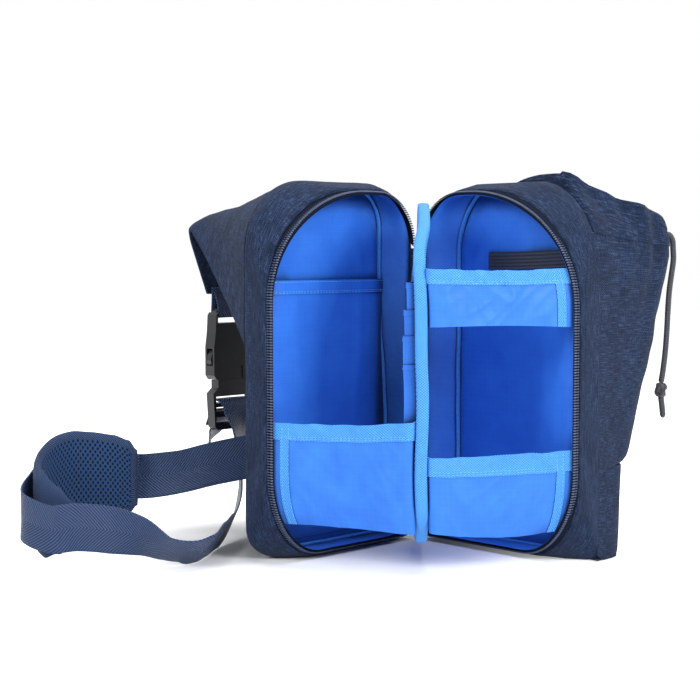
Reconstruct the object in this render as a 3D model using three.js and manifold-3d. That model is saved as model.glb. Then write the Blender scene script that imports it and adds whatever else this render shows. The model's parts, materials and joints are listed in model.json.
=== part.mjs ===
// Clamshell sling bag for an SLR camera, standing open like a book on its base.
// Millimetres, +Z up. The hinge line of the two halves is vertical.
// The front half lies along +X with its pouch towards +Y, and the back half lies
// along -Y with its shoulder strap towards -X, so both open sides face +X -Y.
import * as THREE from 'three';
import Module from 'manifold-3d';

// ---------------------------------------------------------------- sizes
const W = 178;                 // hinge line to free edge of a half
const D = 36;                  // rim to outer face of a half
const H = 319;                 // height of the outer face, from the bottom seam
const FLOOR = -3.5;            // the soft bottoms sag this far below that seam
const RIM_TOP = H - 9;         // top of the rim, lower than the face
const RIM_LIFT = 1;            // rim's bottom, from the bottom seam
const RIM_EDGE = W - 2.5;      // free edge of the rim
const WALL = 4;                // padded wall
const SEAT = 0.3;              // gap between two pieces that are sewn together
const LINING = 1;              // lining fabric with its foam skin
const TAPE_D = 12;             // depth at which the zip tape meets the shell
const KNEE = 24;               // depth at which the walls reach their full outline
const RIM_D = 0.5;             // depth of the rim itself
const COIL_D = 5.5;            // inner edge of the zip coil
const TAPE_IN = 3.4;           // inner face of the zip tape, in from the outline
const BEAD = 2.5;              // seam binding inside the halves
const POCKET_TOP = H - 85;     // slip pocket in the back half
const POCKET_BULGE = 5.4;      // its stand-off from the lining
const BINDING = 12;            // width of the folded binding on pockets

const LEAF_ANGLE = 47;         // divider leaf from the front half, degrees
const LEAF_W0 = 9;             // divider leaf, from the hinge line
const LEAF_W1 = W - 16;
const LEAF_Z0 = 19;
const LEAF_Z1 = H - 19;
const LEAF_T = 7;              // board thickness
const EDGE_T = 1.4;            // its edge binding, on each face
const CARD_DROPS = [67, 89, 110, 133];   // card pockets, down from the divider's top
const CARD_T = 2;              // a pocket with its folded hem and a filter in it

const LOW_LEFT = { z0: 31, z1: 117, hem: 14 };
const LOW_RIGHT = { z0: 28, z1: 93, hem: 16 };
const UP_RIGHT = { z0: H - 121, z1: H - 75, hem: 12 };
const BAND_T = 1.2;

const WEB = 40;                // webbing width
const WEB_T = 1.3;             // webbing thickness
const YOKE_T = 2.6;            // padded fabric yoke
const CREST_OUT = 123;         // crest of the yoke, out from the back face
const CREST_Z = H - 26;
const TIP_OUT = 125;
const TIP_Z = H - 102;
const BUCKLE_W = 89;           // middle of the buckle across the half
const BUCKLE_OUT = 119;        // its middle plane, out from the back face
const SOCKET = { w: WEB + 10, h: 66, t: 13 };
const TAB_DROP = 11;           // from the yoke's tip down to the top of the socket
const BUCKLE_Z = TIP_Z - TAB_DROP - SOCKET.h;      // mouth of the socket

const POUCH = { out0: 38, out1: 43, puff: 14, belly: 119, lip: 108, split: 76,
  bellyZ: H - 64, lipZ: H - 36, tilt: 42 };
const POUCH_T = 1.6;
const BASE_T = 2.6;
const CORD = 5.2;              // drawstring braid

// ---------------------------------------------------------------- finishes
const paint = (hex, rough, metal = 0) =>
  new THREE.MeshStandardMaterial({ color: hex, roughness: rough, metalness: metal });
const heather = paint('#2c3650', 0.95);
const ripstop = paint('#1c55c8', 0.7);
const skyBinding = paint('#4aa0f0', 0.8);
const webNavy = paint('#1a2033', 0.75);
const blackWeb = paint('#101114', 0.8);
const acetal = paint('#0d0e10', 0.4);
const meshBlack = paint('#17191d', 0.95);
const tapeNavy = paint('#141a2b', 0.85);
const coilNavy = paint('#2a3147', 0.5);
const alloy = paint('#2a2b2e', 0.35, 0.8);

// ---------------------------------------------------------------- helpers
const V = (x, y, z) => new THREE.Vector3(x, y, z);
const rad = (a) => (a * Math.PI) / 180;
const mix = (a, b, t) => a + (b - a) * t;
const clamp01 = (t) => Math.min(1, Math.max(0, t));
const smooth = (t) => clamp01(t) * clamp01(t) * (3 - 2 * clamp01(t));

function meshOf(name, geometry, material) {
  geometry.computeVertexNormals();
  const m = new THREE.Mesh(geometry, material);
  m.name = name;
  return m;
}

function signedVolume(pts, idx) {
  let v = 0;
  for (let i = 0; i < idx.length; i += 3) {
    const a = pts[idx[i]];
    const b = pts[idx[i + 1]];
    const c = pts[idx[i + 2]];
    v += a.dot(b.clone().cross(c));
  }
  return v / 6;
}

function toGeometry(pts, idx) {
  if (signedVolume(pts, idx) < 0) idx.reverse();
  const g = new THREE.BufferGeometry();
  const flat = new Float32Array(pts.length * 3);
  pts.forEach((p, i) => flat.set([p.x, p.y, p.z], i * 3));
  g.setAttribute('position', new THREE.BufferAttribute(flat, 3));
  g.setIndex(idx);
  return g;
}

// A body through equal closed loops of points. Ends are closed by a fan for a
// convex loop, or by pairing its two sides for a thin strip. ring joins last to first.
// turned splits its faces the other way, for a body that lies against a loft run back.
function loft(loops, { cap = 'fan', ring = false, turned = false } = {}) {
  const n = loops[0].length;
  const pts = [];
  const idx = [];
  loops.forEach((loop) => loop.forEach((p) => pts.push(p)));
  const spans = ring ? loops.length : loops.length - 1;
  for (let j = 0; j < spans; j++) {
    const a = j * n;
    const b = ((j + 1) % loops.length) * n;
    for (let i = 0; i < n; i++) {
      const k = (i + 1) % n;
      if (turned) idx.push(a + i, a + k, b + i, a + k, b + k, b + i);
      else idx.push(a + i, a + k, b + k, a + i, b + k, b + i);
    }
  }
  if (!ring) {
    const last = (loops.length - 1) * n;
    if (cap === 'pair') {
      for (let i = 0; i < n / 2 - 1; i++) {
        const o = n - 1 - i;
        idx.push(i + 1, i, o, i + 1, o, o - 1);
        idx.push(last + i, last + i + 1, last + o, last + i + 1, last + o - 1, last + o);
      }
    } else {
      for (let i = 1; i < n - 1; i++) {
        idx.push(0, i + 1, i);
        idx.push(last, last + i, last + i + 1);
      }
    }
  }
  return toGeometry(pts, idx);
}

// A sheet of even thickness whose middle surface is at(u, v), with us and vs in 0..1.
// pin(p, u, v, side) may move a point, to seat an edge on its carrier.
function sheet(at, us, vs, t, pin = (p) => p) {
  const e = 1e-3;
  const side = (u, v, s) => {
    const du = at(Math.min(1, u + e), v).sub(at(Math.max(0, u - e), v));
    const dv = at(u, Math.min(1, v + e)).sub(at(u, Math.max(0, v - e)));
    const nrm = du.cross(dv).normalize();
    return pin(at(u, v).addScaledVector(nrm, (s * t) / 2), u, v, s);
  };
  const loops = vs.map((v) => {
    const front = us.map((u) => side(u, v, 1));
    const back = us.map((u) => side(u, v, -1)).reverse();
    return front.concat(back);
  });
  return loft(loops, { cap: 'pair' });
}

const steps = (n, a = 0, b = 1) => Array.from({ length: n + 1 }, (_, i) => mix(a, b, i / n));

// A box from its centre and sizes.
function block(cx, cy, cz, sx, sy, sz) {
  const g = new THREE.BoxGeometry(sx, sy, sz);
  g.translate(cx, cy, cz);
  return g;
}

// Outline of a half at depth d, drawn in by inset. It runs up the hinge side, over
// the top, down the free side and back along the bottom, always with equal counts.
// Both rims have one shape, so that they zip together. Behind them the back half keeps
// a square hinge-side top, and the front half is squared low down to carry the pouch.
// hs, fs and fl: corners at the hinge-side top, free-side top and free-side bottom.
const RIM = { d: 0, edge: RIM_EDGE, top: RIM_TOP, low: RIM_LIFT, hs: [48, 48], fs: [124, 100],
  fl: [60, 80], hl: [14, 14] };
const FORM = {
  front: [RIM,
    { d: KNEE, edge: W - 0.6, top: H - 0.6, low: FLOOR, hs: [58, 58], fs: [70, 98], fl: [30, 34],
      hl: [14, 14] },
    { d: 33.5, edge: W, top: H, low: FLOOR, hs: [62, 62], fs: [64, 96], fl: [14, 14],
      hl: [12, 12] },
    { d: D, edge: W - 0.6, top: H - 1.5, low: FLOOR + 0.5, hs: [60, 60], fs: [62, 94],
      fl: [10, 10], hl: [10, 10] }],
  back: [RIM,
    { d: KNEE, edge: W - 2, top: H - 0.6, low: FLOOR, hs: [40, 40], fs: [60, 66], fl: [42, 40],
      hl: [14, 14] },
    { d: 33.5, edge: W - 2.5, top: H, low: FLOOR, hs: [36, 36], fs: [60, 62], fl: [38, 28],
      hl: [14, 14] },
    { d: D, edge: W - 5, top: H - 2.5, low: FLOOR + 2.5, hs: [34, 34], fs: [58, 60],
      fl: [36, 26], hl: [12, 12] }],
};
let form = FORM.back;
const ARCS = [['hs', 6], ['fs', 10], ['fl', 7], ['hl', 3]];
const N_TS = 7;                       // first points, over the hinge-side top corner
function shapeAt(d) {
  let i = 0;
  while (i < form.length - 2 && d > form[i + 1].d) i++;
  const a = form[i];
  const b = form[i + 1];
  const t = (d - a.d) / (b.d - a.d);
  const s = {};
  Object.keys(a).forEach((k) => {
    s[k] = Array.isArray(a[k]) ? a[k].map((v, j) => mix(v, b[k][j], t)) : mix(a[k], b[k], t);
  });
  return s;
}
function outline(d, inset = 0, spine = inset) {
  const s = shapeAt(d);
  const lo = s.low + inset;
  const hi = s.top - inset;
  const e = s.edge - inset;
  const r = {};
  ARCS.forEach(([k]) => { r[k] = s[k].map((v) => Math.max(1.5, v - inset)); });
  const centres = {
    hs: [spine + r.hs[0], hi - r.hs[1], 180],
    fs: [e - r.fs[0], hi - r.fs[1], 90],
    fl: [e - r.fl[0], lo + r.fl[1], 0],
    hl: [spine + r.hl[0], lo + r.hl[1], -90],
  };
  const pts = [];
  ARCS.forEach(([k, n]) => {
    const [cw, cz, a0] = centres[k];
    for (let i = 0; i <= n; i++) {
      const a = rad(a0 - (90 * i) / n);
      pts.push(V(cw + r[k][0] * Math.cos(a), d, cz + r[k][1] * Math.sin(a)));
    }
  });
  return pts;
}
// Least and greatest w of the outline at a height, for panels cut to fit inside it.
function spanAt(d, inset, z) {
  const o = outline(d, inset);
  let lo = 1e9;
  let hi = -1e9;
  o.forEach((p, i) => {
    const q = o[(i + 1) % o.length];
    if ((p.z - z) * (q.z - z) <= 0 && p.z !== q.z) {
      const w = mix(p.x, q.x, (z - p.z) / (q.z - p.z));
      lo = Math.min(lo, w);
      hi = Math.max(hi, w);
    }
  });
  return [lo, hi];
}

// ---------------------------------------------------------------- one half of the shell
const inD = D - WALL;
const skinD = inD - SEAT;
const faceD = skinD - LINING;
function shell() {
  return loft([outline(D), outline(33.5), outline(KNEE), outline(TAPE_D),
    outline(TAPE_D, WALL), outline(KNEE, WALL), outline(inD, WALL)]);
}
function lining() {
  const a = WALL + SEAT;
  const b = a + LINING;
  return loft([outline(skinD, a), outline(KNEE, a), outline(TAPE_D, a),
    outline(TAPE_D, b), outline(KNEE, b), outline(faceD, b)], { turned: true });
}
// Strip along the outline from the zip's top end to its bottom end, or up the spine.
// On the front half it starts one step on, where the parked slider stands.
function rimRun(d0, d1, in0, in1, part) {
  const c = [outline(d0, in0), outline(d1, in0), outline(d1, in1), outline(d0, in1)];
  const last = c[0].length - 1;
  const from = form === FORM.front ? 1 : 0;
  if (part === 'zip') return loft(c[0].map((_, i) => c.map((o) => o[i])).slice(from));
  const up = c.map((o) => o[0].clone());
  const down = c.map((o) => o[last].clone());
  up.forEach((p) => { p.z -= SEAT; });
  down.forEach((p) => { p.z += SEAT; });
  return loft([down, up]);
}
function seamBead() {
  const d1 = faceD - SEAT;
  const i0 = WALL + LINING + 2 * SEAT;
  const c = [outline(d1 - 4.6, i0), outline(d1 - 4.6, i0 + BEAD * 0.6),
    outline(d1 - 3, i0 + BEAD), outline(d1, i0 + BEAD), outline(d1, i0)];
  return loft(c[0].map((_, i) => c.map((o) => o[i])), { ring: true });
}
function half(side) {
  form = FORM[side];
  const g = new THREE.Group();
  g.add(meshOf(`${side}_shell`, shell(), heather));
  g.add(meshOf(`${side}_lining`, lining(), ripstop));
  g.add(meshOf(`${side}_seam_binding`, seamBead(), skyBinding));
  g.add(meshOf(`${side}_zip_tape`, rimRun(1.5, TAPE_D - SEAT, TAPE_IN - 1, TAPE_IN, 'zip'), tapeNavy));
  g.add(meshOf(`${side}_zip_coil`, rimRun(RIM_D, COIL_D, -0.2, 2.1, 'zip'), coilNavy));
  g.add(meshOf(`${side}_spine_leaf`, rimRun(RIM_D, TAPE_D - SEAT, 0, 1.4, 'spine'), heather));
  return g;
}

// ---------------------------------------------------------------- back half
const bulge = (u, v) => smooth(Math.min(u, 1 - u) / 0.13) * smooth(v / 0.14);
function slipPocket(z0, z1, t, zs) {
  const inset = WALL + LINING + BEAD + 3 * SEAT + 0.6;
  const at = (u, v) => {
    const z = mix(z0, z1, v);
    const [a, b] = spanAt(faceD, inset, z);
    const f = bulge(u, (z - LOW_SEAM) / (POCKET_TOP - LOW_SEAM));
    return V(mix(a, b, u), faceD - SEAT - 0.6 - POCKET_BULGE * f, z);
  };
  const us = [0, 0.03, 0.065, 0.1, 0.13, 0.5, 0.87, 0.9, 0.935, 0.97, 1];
  return sheet(at, us, zs, t, (p) => { p.y = Math.min(p.y, faceD - SEAT); return p; });
}
const LOW_SEAM = 9.5;
function backHalf() {
  const g = half('back');
  const hem = POCKET_TOP - BINDING;
  const zs = [0, 0.03, 0.07, 0.11, 0.15, 0.2, 0.3, 0.6, 1];
  g.add(meshOf('back_slip_pocket', slipPocket(LOW_SEAM, hem - SEAT, 1, zs), ripstop));
  g.add(meshOf('back_pocket_binding', slipPocket(hem, POCKET_TOP, 1.8, [0, 1]), skyBinding));
  carrySystem(g);
  return g;
}

const SEAM_LOW = H - 140;
// Yoke: wide at the arch seam of the back face, drawn to a crest and folded down.
function yokeAt(u, v) {
  const seamZ = (k) => {
    const o = outline(33.5, 3);
    return o[k];
  };
  // arch seam from its low end at the free side, over the top, to the hinge side
  const arch = [V(W - 5.5, 0, SEAM_LOW)];
  for (let i = N_TS + 10; i >= 0; i--) arch.push(seamZ(i).clone());
  arch.push(V(3, 0, SEAM_LOW));
  const lens = [0];
  for (let i = 1; i < arch.length; i++) {
    lens.push(lens[i - 1] + Math.hypot(arch[i].x - arch[i - 1].x, arch[i].z - arch[i - 1].z));
  }
  const L = lens[lens.length - 1];
  const s = u * L;
  let i = 1;
  while (i < lens.length - 1 && lens[i] < s) i++;
  const t = (s - lens[i - 1]) / (lens[i] - lens[i - 1]);
  const root = V(mix(arch[i - 1].x, arch[i].x, t), D + SEAT, mix(arch[i - 1].z, arch[i].z, t));
  const k = 2 * u - 1;                       // -1 free side, +1 hinge side
  const drop = 30 * Math.pow(Math.abs(k), 3);
  const crest = V(W / 2 - 47 * Math.sign(k) * Math.pow(Math.abs(k), 0.8), D + CREST_OUT - 2,
    CREST_Z - 0.4 * drop);
  const bend = V(W / 2 - 41 * k, D + CREST_OUT + 4, CREST_Z - 14 - 0.3 * drop);
  const tip = V(BUCKLE_W - 22 * k, D + TIP_OUT, TIP_Z);
  if (v < 0.62) {
    const q = v / 0.62;
    const p = root.clone().lerp(crest, q);
    p.z += Math.sin(Math.PI * q) * mix(-3, 5, Math.abs(k) ** 2);
    return p;
  }
  if (v < 0.72) return crest.clone().lerp(bend, (v - 0.62) / 0.1);
  return bend.clone().lerp(tip, (v - 0.72) / 0.28);
}
function yoke() {
  const vs = [0, 0.08, 0.2, 0.32, 0.44, 0.55, 0.62, 0.67, 0.72, 0.81, 0.9, 1];
  return sheet(yokeAt, steps(18), vs, YOKE_T, (p, u, v) => {
    if (v === 0) p.y = D + SEAT;
    return p;
  });
}

// Webbing between stations {p, e}: p its middle, e the direction of its width.
function webbing(stations, width, t, per = 4) {
  const curve = new THREE.CatmullRomCurve3(stations.map((s) => s.p), false, 'centripetal');
  const n = (stations.length - 1) * per;
  const loops = [];
  for (let i = 0; i <= n; i++) {
    const f = i / n;
    const p = curve.getPoint(f);
    const tan = curve.getTangent(f);
    const k = Math.min(stations.length - 2, Math.floor(f * (stations.length - 1)));
    const e = stations[k].e.clone().lerp(stations[k + 1].e, f * (stations.length - 1) - k);
    e.addScaledVector(tan, -e.dot(tan)).normalize();
    const nrm = tan.clone().cross(e).normalize();
    const low = FLOOR + Math.abs(e.z) * (width / 2) + Math.abs(nrm.z) * (t / 2) + 0.2;
    if (p.z < low) p.z = low;
    const a = e.multiplyScalar(width / 2);
    const b = nrm.multiplyScalar(t / 2);
    loops.push([p.clone().add(a).add(b), p.clone().sub(a).add(b),
      p.clone().sub(a).sub(b), p.clone().add(a).sub(b)]);
  }
  return loft(loops);
}
const at = (x, y, z, ex, ey, ez) => ({ p: V(x, y, z), e: V(ex, ey, ez) });

// Run of the strap from the buckle down to the floor, round the pad and back to
// its anchor low on the back face. Lengths and twist follow the photograph.
const STRAP_FROM_BUCKLE = [
  at(BUCKLE_W, D + BUCKLE_OUT + 2, BUCKLE_Z - 18.7, 1, 0, 0),
  at(BUCKLE_W, D + BUCKLE_OUT - 3, BUCKLE_Z - 18.9, 1, 0, 0),
  at(BUCKLE_W, D + BUCKLE_OUT - 7.5, BUCKLE_Z - 20, 1, 0, 0),
  at(BUCKLE_W, D + BUCKLE_OUT - 13, BUCKLE_Z - 24, 1, 0, 0),
  at(90, 138.5, 107, 1, 0, 0),
  at(92, 137, 94, 0.9, -0.44, 0),
  at(95, 135, 77, 0.75, -0.66, 0),
  at(98, 132, 60, 0.66, -0.75, 0.05),
  at(104, 125, 44, 0.6, -0.77, 0.2),
  at(117, 113, 30, 0.5, -0.75, 0.42),
  at(138, 96, 19, 0.42, -0.74, 0.52),
  at(163, 78, 12, 0.39, -0.74, 0.54),
  at(190, 58, 11, 0.42, -0.72, 0.54),
  at(212, 46, 11, 0.47, -0.7, 0.53),
  at(229, 45, 11, 0.5, -0.66, 0.56),
  at(244, 54, 14, 0.44, -0.64, 0.62),
  at(258, 70, 24, 0.22, -0.42, 0.88),
  at(274, 90, 29, 0, -0.1, 0.99),
  at(293, 112, 31, 0, 0, 1),
];
const STRAP_TO_ANCHOR = [
  at(188.5, 161.5, 57, -0.08, 0.08, 0.98),
  at(164, 138, 61, -0.3, 0.3, 0.9),
  at(143, 118, 68, -0.3, 0.3, 0.9),
  at(118, 98, 74, -0.28, 0.28, 0.92),
  at(90, 76, 80, -0.22, 0.22, 0.95),
  at(68, 58, 85, -0.1, 0.15, 0.98),
  at(51, 44.5, 88, 0, 0.05, 1),
  at(41, D + 3, 88.5, 0, 0, 1),
  at(32, D + 1.3, 89, 0, 0, 1),
  at(22, D + 1.1, 89.5, 0, 0, 1),
  at(11, D + 1.1, 90, 0, 0, 1),
];

// The pad lies inside the strap's bend, standing on its left tip.
const PAD = [
  { p: V(283, 131, 30), h: 19 },
  { p: V(292, 141, 33), h: 29 },
  { p: V(298, 153, 37.5), h: 37 },
  { p: V(293, 168, 44.5), h: 39.5 },
  { p: V(279, 181, 51.5), h: 39.5 },
  { p: V(262, 189, 57.5), h: 39.5 },
  { p: V(244, 190.5, 61), h: 39 },
  { p: V(227, 185, 60.5), h: 38 },
  { p: V(211, 174, 59), h: 36.5 },
  { p: V(202, 163, 58), h: 33 },
  { p: V(197.5, 156, 57.5), h: 25 },
];
const PAD_T = 8;
const PAD_STEPS = 16;
const STRAP_OFF = 7.4;         // strap's middle from the pad's middle surface
// Middle, lengthwise and inward directions and half height of the pad at f in 0..1.
function padFrame(f) {
  const curve = new THREE.CatmullRomCurve3(PAD.map((s) => s.p));
  const p = curve.getPoint(f);
  const tan = curve.getTangent(f).setZ(0).normalize();
  const inw = V(-tan.y, tan.x, 0);
  const k = Math.min(PAD.length - 2, Math.floor(f * (PAD.length - 1)));
  const h = mix(PAD[k].h, PAD[k + 1].h, smooth(f * (PAD.length - 1) - k));
  return { p, tan, inw, h: Math.min(h, p.z - FLOOR - 0.4) };
}
function padBody() {
  const t = PAD_T;
  const r = 2.4;
  return loft(steps(PAD_STEPS).map((f) => {
    const { p, inw, h } = padFrame(f);
    const c = [[h, t / 2 - r], [h - r, t / 2], [-h + r, t / 2], [-h, t / 2 - r],
      [-h, -t / 2 + r], [-h + r, -t / 2], [h - r, -t / 2], [h, -t / 2 + r]];
    return c.map(([z, s]) => p.clone().addScaledVector(inw, s).add(V(0, 0, z)));
  }));
}
function meshPanel() {
  const y0 = PAD_T / 2 + 1.5 * SEAT;
  const loops = [];
  for (let i = 1; i < PAD_STEPS; i++) {
    const { p, inw, h } = padFrame(i / PAD_STEPS);
    const c = [[h - 6, y0], [h - 6, y0 + 1.2], [6 - h, y0 + 1.2], [6 - h, y0]];
    loops.push(c.map(([z, s]) => p.clone().addScaledVector(inw, s).add(V(0, 0, z))));
  }
  return loft(loops);
}
const strapOnPad = [0.1, 0.22, 0.36, 0.48, 0.6, 0.72, 0.84, 0.95].map((f) => {
  const { p, inw } = padFrame(f);
  const off = STRAP_OFF + 12 * smooth((0.38 - f) / 0.22);
  p.z -= 4 * smooth((0.3 - f) / 0.2);
  return { p: p.addScaledVector(inw, -off), e: V(0, 0, 1) };
});
// Loop of webbing on the pad's outer face that the strap runs under.
function keeper(f) {
  const { p, tan, inw } = padFrame(f);
  const y0 = PAD_T / 2 + 1.5 * SEAT;
  const hi = WEB / 2 + 4;
  const deep = 6.4;
  const pts = [[-hi - 7, y0], [-hi + 1.5, y0], [-hi + 1.5, y0 + deep], [hi - 1.5, y0 + deep],
    [hi - 1.5, y0], [hi + 7, y0], [hi + 7, y0 + 1.2], [hi, y0 + 1.2], [hi, y0 + deep + 1.4],
    [-hi, y0 + deep + 1.4], [-hi, y0 + 1.2], [-hi - 7, y0 + 1.2]];
  const shape = new THREE.Shape(pts.map(([z, s]) => new THREE.Vector2(z, s)));
  const g = new THREE.ExtrudeGeometry(shape, { depth: 10, bevelEnabled: false });
  g.translate(0, 0, -5);
  const m = new THREE.Matrix4().makeBasis(V(0, 0, 1), inw.clone().negate(), tan.clone());
  m.setPosition(p);
  g.applyMatrix4(m);
  return g;
}

// ---------------------------------------------------------------- buckle
const wasm = await Module();
wasm.setup();
function toManifold(g) {
  const pos = g.attributes.position;
  const key = new Map();
  const verts = [];
  const map = [];
  for (let i = 0; i < pos.count; i++) {
    const p = [pos.getX(i), pos.getY(i), pos.getZ(i)];
    const k = p.map((c) => Math.round(c * 1e4)).join();
    if (!key.has(k)) {
      key.set(k, verts.length / 3);
      verts.push(...p);
    }
    map.push(key.get(k));
  }
  const src = g.index ? Array.from(g.index.array) : Array.from(map.keys());
  const tri = [];
  for (let i = 0; i < src.length; i += 3) {
    const t = [map[src[i]], map[src[i + 1]], map[src[i + 2]]];
    if (t[0] !== t[1] && t[1] !== t[2] && t[0] !== t[2]) tri.push(...t);
  }
  return new wasm.Manifold(new wasm.Mesh({
    numProp: 3, vertProperties: new Float32Array(verts), triVerts: new Uint32Array(tri),
  }));
}
function fromManifold(m) {
  const k = m.getMesh();
  const g = new THREE.BufferGeometry();
  g.setAttribute('position', new THREE.BufferAttribute(new Float32Array(k.vertProperties), 3));
  g.setIndex(Array.from(k.triVerts));
  return g;
}
const cut = (base, ...tools) => fromManifold(
  tools.reduce((m, t) => m.subtract(toManifold(t)), toManifold(base)));
const join = (...parts) => fromManifold(
  parts.slice(1).reduce((m, t) => m.add(toManifold(t)), toManifold(parts[0])));

// Flat plate with rounded plan, drawn in the w-z plane and thick along d.
function plate(points, d0, d1) {
  const s = new THREE.Shape(points.map(([w, z]) => new THREE.Vector2(w, z)));
  const g = new THREE.ExtrudeGeometry(s, { depth: d1 - d0, bevelEnabled: false });
  g.rotateX(Math.PI / 2);
  g.translate(0, d1, 0);
  return g;
}
const BW = BUCKLE_W;
const BD = D + BUCKLE_OUT;
const BZ = BUCKLE_Z;
const half2 = SOCKET.w / 2;
const tHalf = SOCKET.t / 2;
const BAR_T = 6.4;             // strap bar at the head of the socket
function socket() {
  const h = SOCKET.h;
  const w = half2;
  const body = plate([[-w + 3, 0], [w - 3, 0], [w, 4], [w, 30], [w - 2, 44], [w - 3, h - 6],
    [w - 8, h], [-w + 8, h], [-w + 3, h - 6], [-w + 2, 44], [-w, 30], [-w, 4]],
  -tHalf, tHalf);
  const channel = block(0, 0, 16, SOCKET.w - 5, SOCKET.t - 4.4, 38);
  const sides = block(0, 0, 21, SOCKET.w + 4, SOCKET.t - 4.4, 16);
  const slot = block(0, 0, h - 9.5, SOCKET.w - 10, SOCKET.t + 4, 8);
  const trim = tHalf - BAR_T / 2;
  const front = block(0, tHalf, h - 4.7, SOCKET.w - 10, 2 * trim, 12);
  const behind = block(0, -tHalf, h - 4.7, SOCKET.w - 10, 2 * trim, 12);
  const thumb = block(0, -tHalf, 6, 20, 1.6, 12);
  const g = cut(body, channel, sides, slot, front, behind, thumb);
  g.translate(BW, BD, BZ);
  return g;
}
const RIB_T = 1.1;
const PRONG_IN = 12;           // prong's pivot, in from the side of the plug
const WAIST = 6;               // plug's shoulder is this much narrower on each side
const ROOT_R = 3;              // round root that the prong flexes about
// Plug: shoulder block with two strap bars, a middle guide tongue and hinge roots.
function plug() {
  const w = half2;
  const blockT = 10;
  const base = plate([[-w + WAIST, -SEAT], [-w + WAIST, -8], [-w, -13], [-w + 2, -44],
    [-w + 5, -47], [w - 5, -47], [w - 2, -44], [w, -13], [w - WAIST, -8], [w - WAIST, -SEAT]],
  -blockT / 2, blockT / 2);
  const tongue = block(0, 0, 10, 7, 6.4, 24);
  const span = SOCKET.w - 7;
  const windowA = block(0, 0, -19, span, blockT + 4, 6);
  const windowB = block(0, 0, -28.5, span, blockT + 4, 5);
  const windowC = block(0, 0, -38, span, blockT + 4, 6);
  const barDrop = block(0, -blockT / 2, -23.5, span, 3, 22);
  const ribs = [];
  for (let i = 0; i < 4; i++) ribs.push(block(0, blockT / 2, -3 - 3 * i, 2 * w - 18, 2 * RIB_T, 1.3));
  const sockets = [1, -1].map((k) => {
    const c = new THREE.CylinderGeometry(ROOT_R + SEAT, ROOT_R + SEAT, 7, 24);
    c.translate(k * (w - PRONG_IN), 0, 0);
    return c;
  });
  const g = cut(join(base, tongue, ...ribs), windowA, windowB, windowC, barDrop, ...sockets);
  g.translate(BW, BD, BZ);
  return g;
}
// Spring prong: arm up from its root, with a catch that stands out of the side window.
function prong(sign) {
  const w = half2;
  const k = sign;
  const root = steps(8, 180, 360).map((a) =>
    [w - PRONG_IN + ROOT_R * Math.cos(rad(a)), ROOT_R * Math.sin(rad(a))]);
  const pts = [...root, [w - 5.6, 8], [w - 4.5, 12], [w - 3.2, 13.6], [w + 0.6, 14.4],
    [w + 1.2, 18], [w + 0.2, 23], [w - 3.4, 28], [w - 6.2, 31], [w - 9.2, 31], [w - 8.6, 20],
    [w - 10.6, 8]];
  const g = plate(pts.map(([a, z]) => [k * a, z]), -3.1, 3.1);
  g.translate(BW, BD, BZ);
  return g;
}

function carrySystem(g) {
  g.add(meshOf('shoulder_yoke', yoke(), heather));
  // webbing tab from the yoke's tip through the socket's slot and back up behind it
  const s = BZ + SOCKET.h - 8;
  const tab = webbing([
    at(BW, BD + 3.5, TIP_Z + 9, 1, 0, 0), at(BW, BD + 3.9, TIP_Z - 6, 1, 0, 0),
    at(BW, BD + 4.4, s + 3.5, 1, 0, 0), at(BW, BD + 2.6, s + 0.2, 1, 0, 0),
    at(BW, BD - 2.6, s + 0.2, 1, 0, 0), at(BW, BD - 4.4, s + 3.5, 1, 0, 0),
    at(BW, BD - 4.5, TIP_Z - 9, 1, 0, 0), at(BW, BD + 0.8, TIP_Z + 5, 1, 0, 0)],
  WEB - 2, WEB_T, 3);
  g.add(meshOf('yoke_tab', tab, webNavy));
  g.add(meshOf('buckle_socket', socket(), acetal));
  g.add(meshOf('buckle_plug', plug(), acetal));
  g.add(meshOf('buckle_prong_front', prong(1), acetal));
  g.add(meshOf('buckle_prong_spine', prong(-1), acetal));
  const route = [...STRAP_FROM_BUCKLE, ...strapOnPad, ...STRAP_TO_ANCHOR];
  g.add(meshOf('shoulder_strap', webbing(route, WEB, WEB_T, 3), webNavy));
  const tail = webbing([
    at(BW, BD - 1, BZ - 28, 1, 0, 0), at(BW, BD + 4.4, BZ - 28.6, 1, 0, 0),
    at(BW, BD + 8, BZ - 32, 1, 0, 0), at(BW + 0.5, BD + 13, BZ - 40, 1, -0.12, 0),
    at(BW + 2, BD + 18.5, BZ - 46, 0.95, -0.3, 0), at(BW + 7, BD + 20.5, BZ - 54, 0.75, -0.66, 0),
    at(BW + 12, BD + 18.5, BZ - 63, 0.66, -0.75, 0)], WEB - 1, WEB_T, 3);
  g.add(meshOf('strap_tail', tail, webNavy));
  const patch = plate([[4, 68], [29, 68], [29, 111], [4, 111]], D + 2.2, D + 3.4);
  g.add(meshOf('strap_anchor_patch', patch, heather));
  g.add(meshOf('shoulder_pad', padBody(), heather));
  g.add(meshOf('pad_mesh', meshPanel(), meshBlack));
  g.add(meshOf('pad_keeper_a', keeper(0.52), blackWeb));
  g.add(meshOf('pad_keeper_b', keeper(0.82), blackWeb));
}

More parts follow.
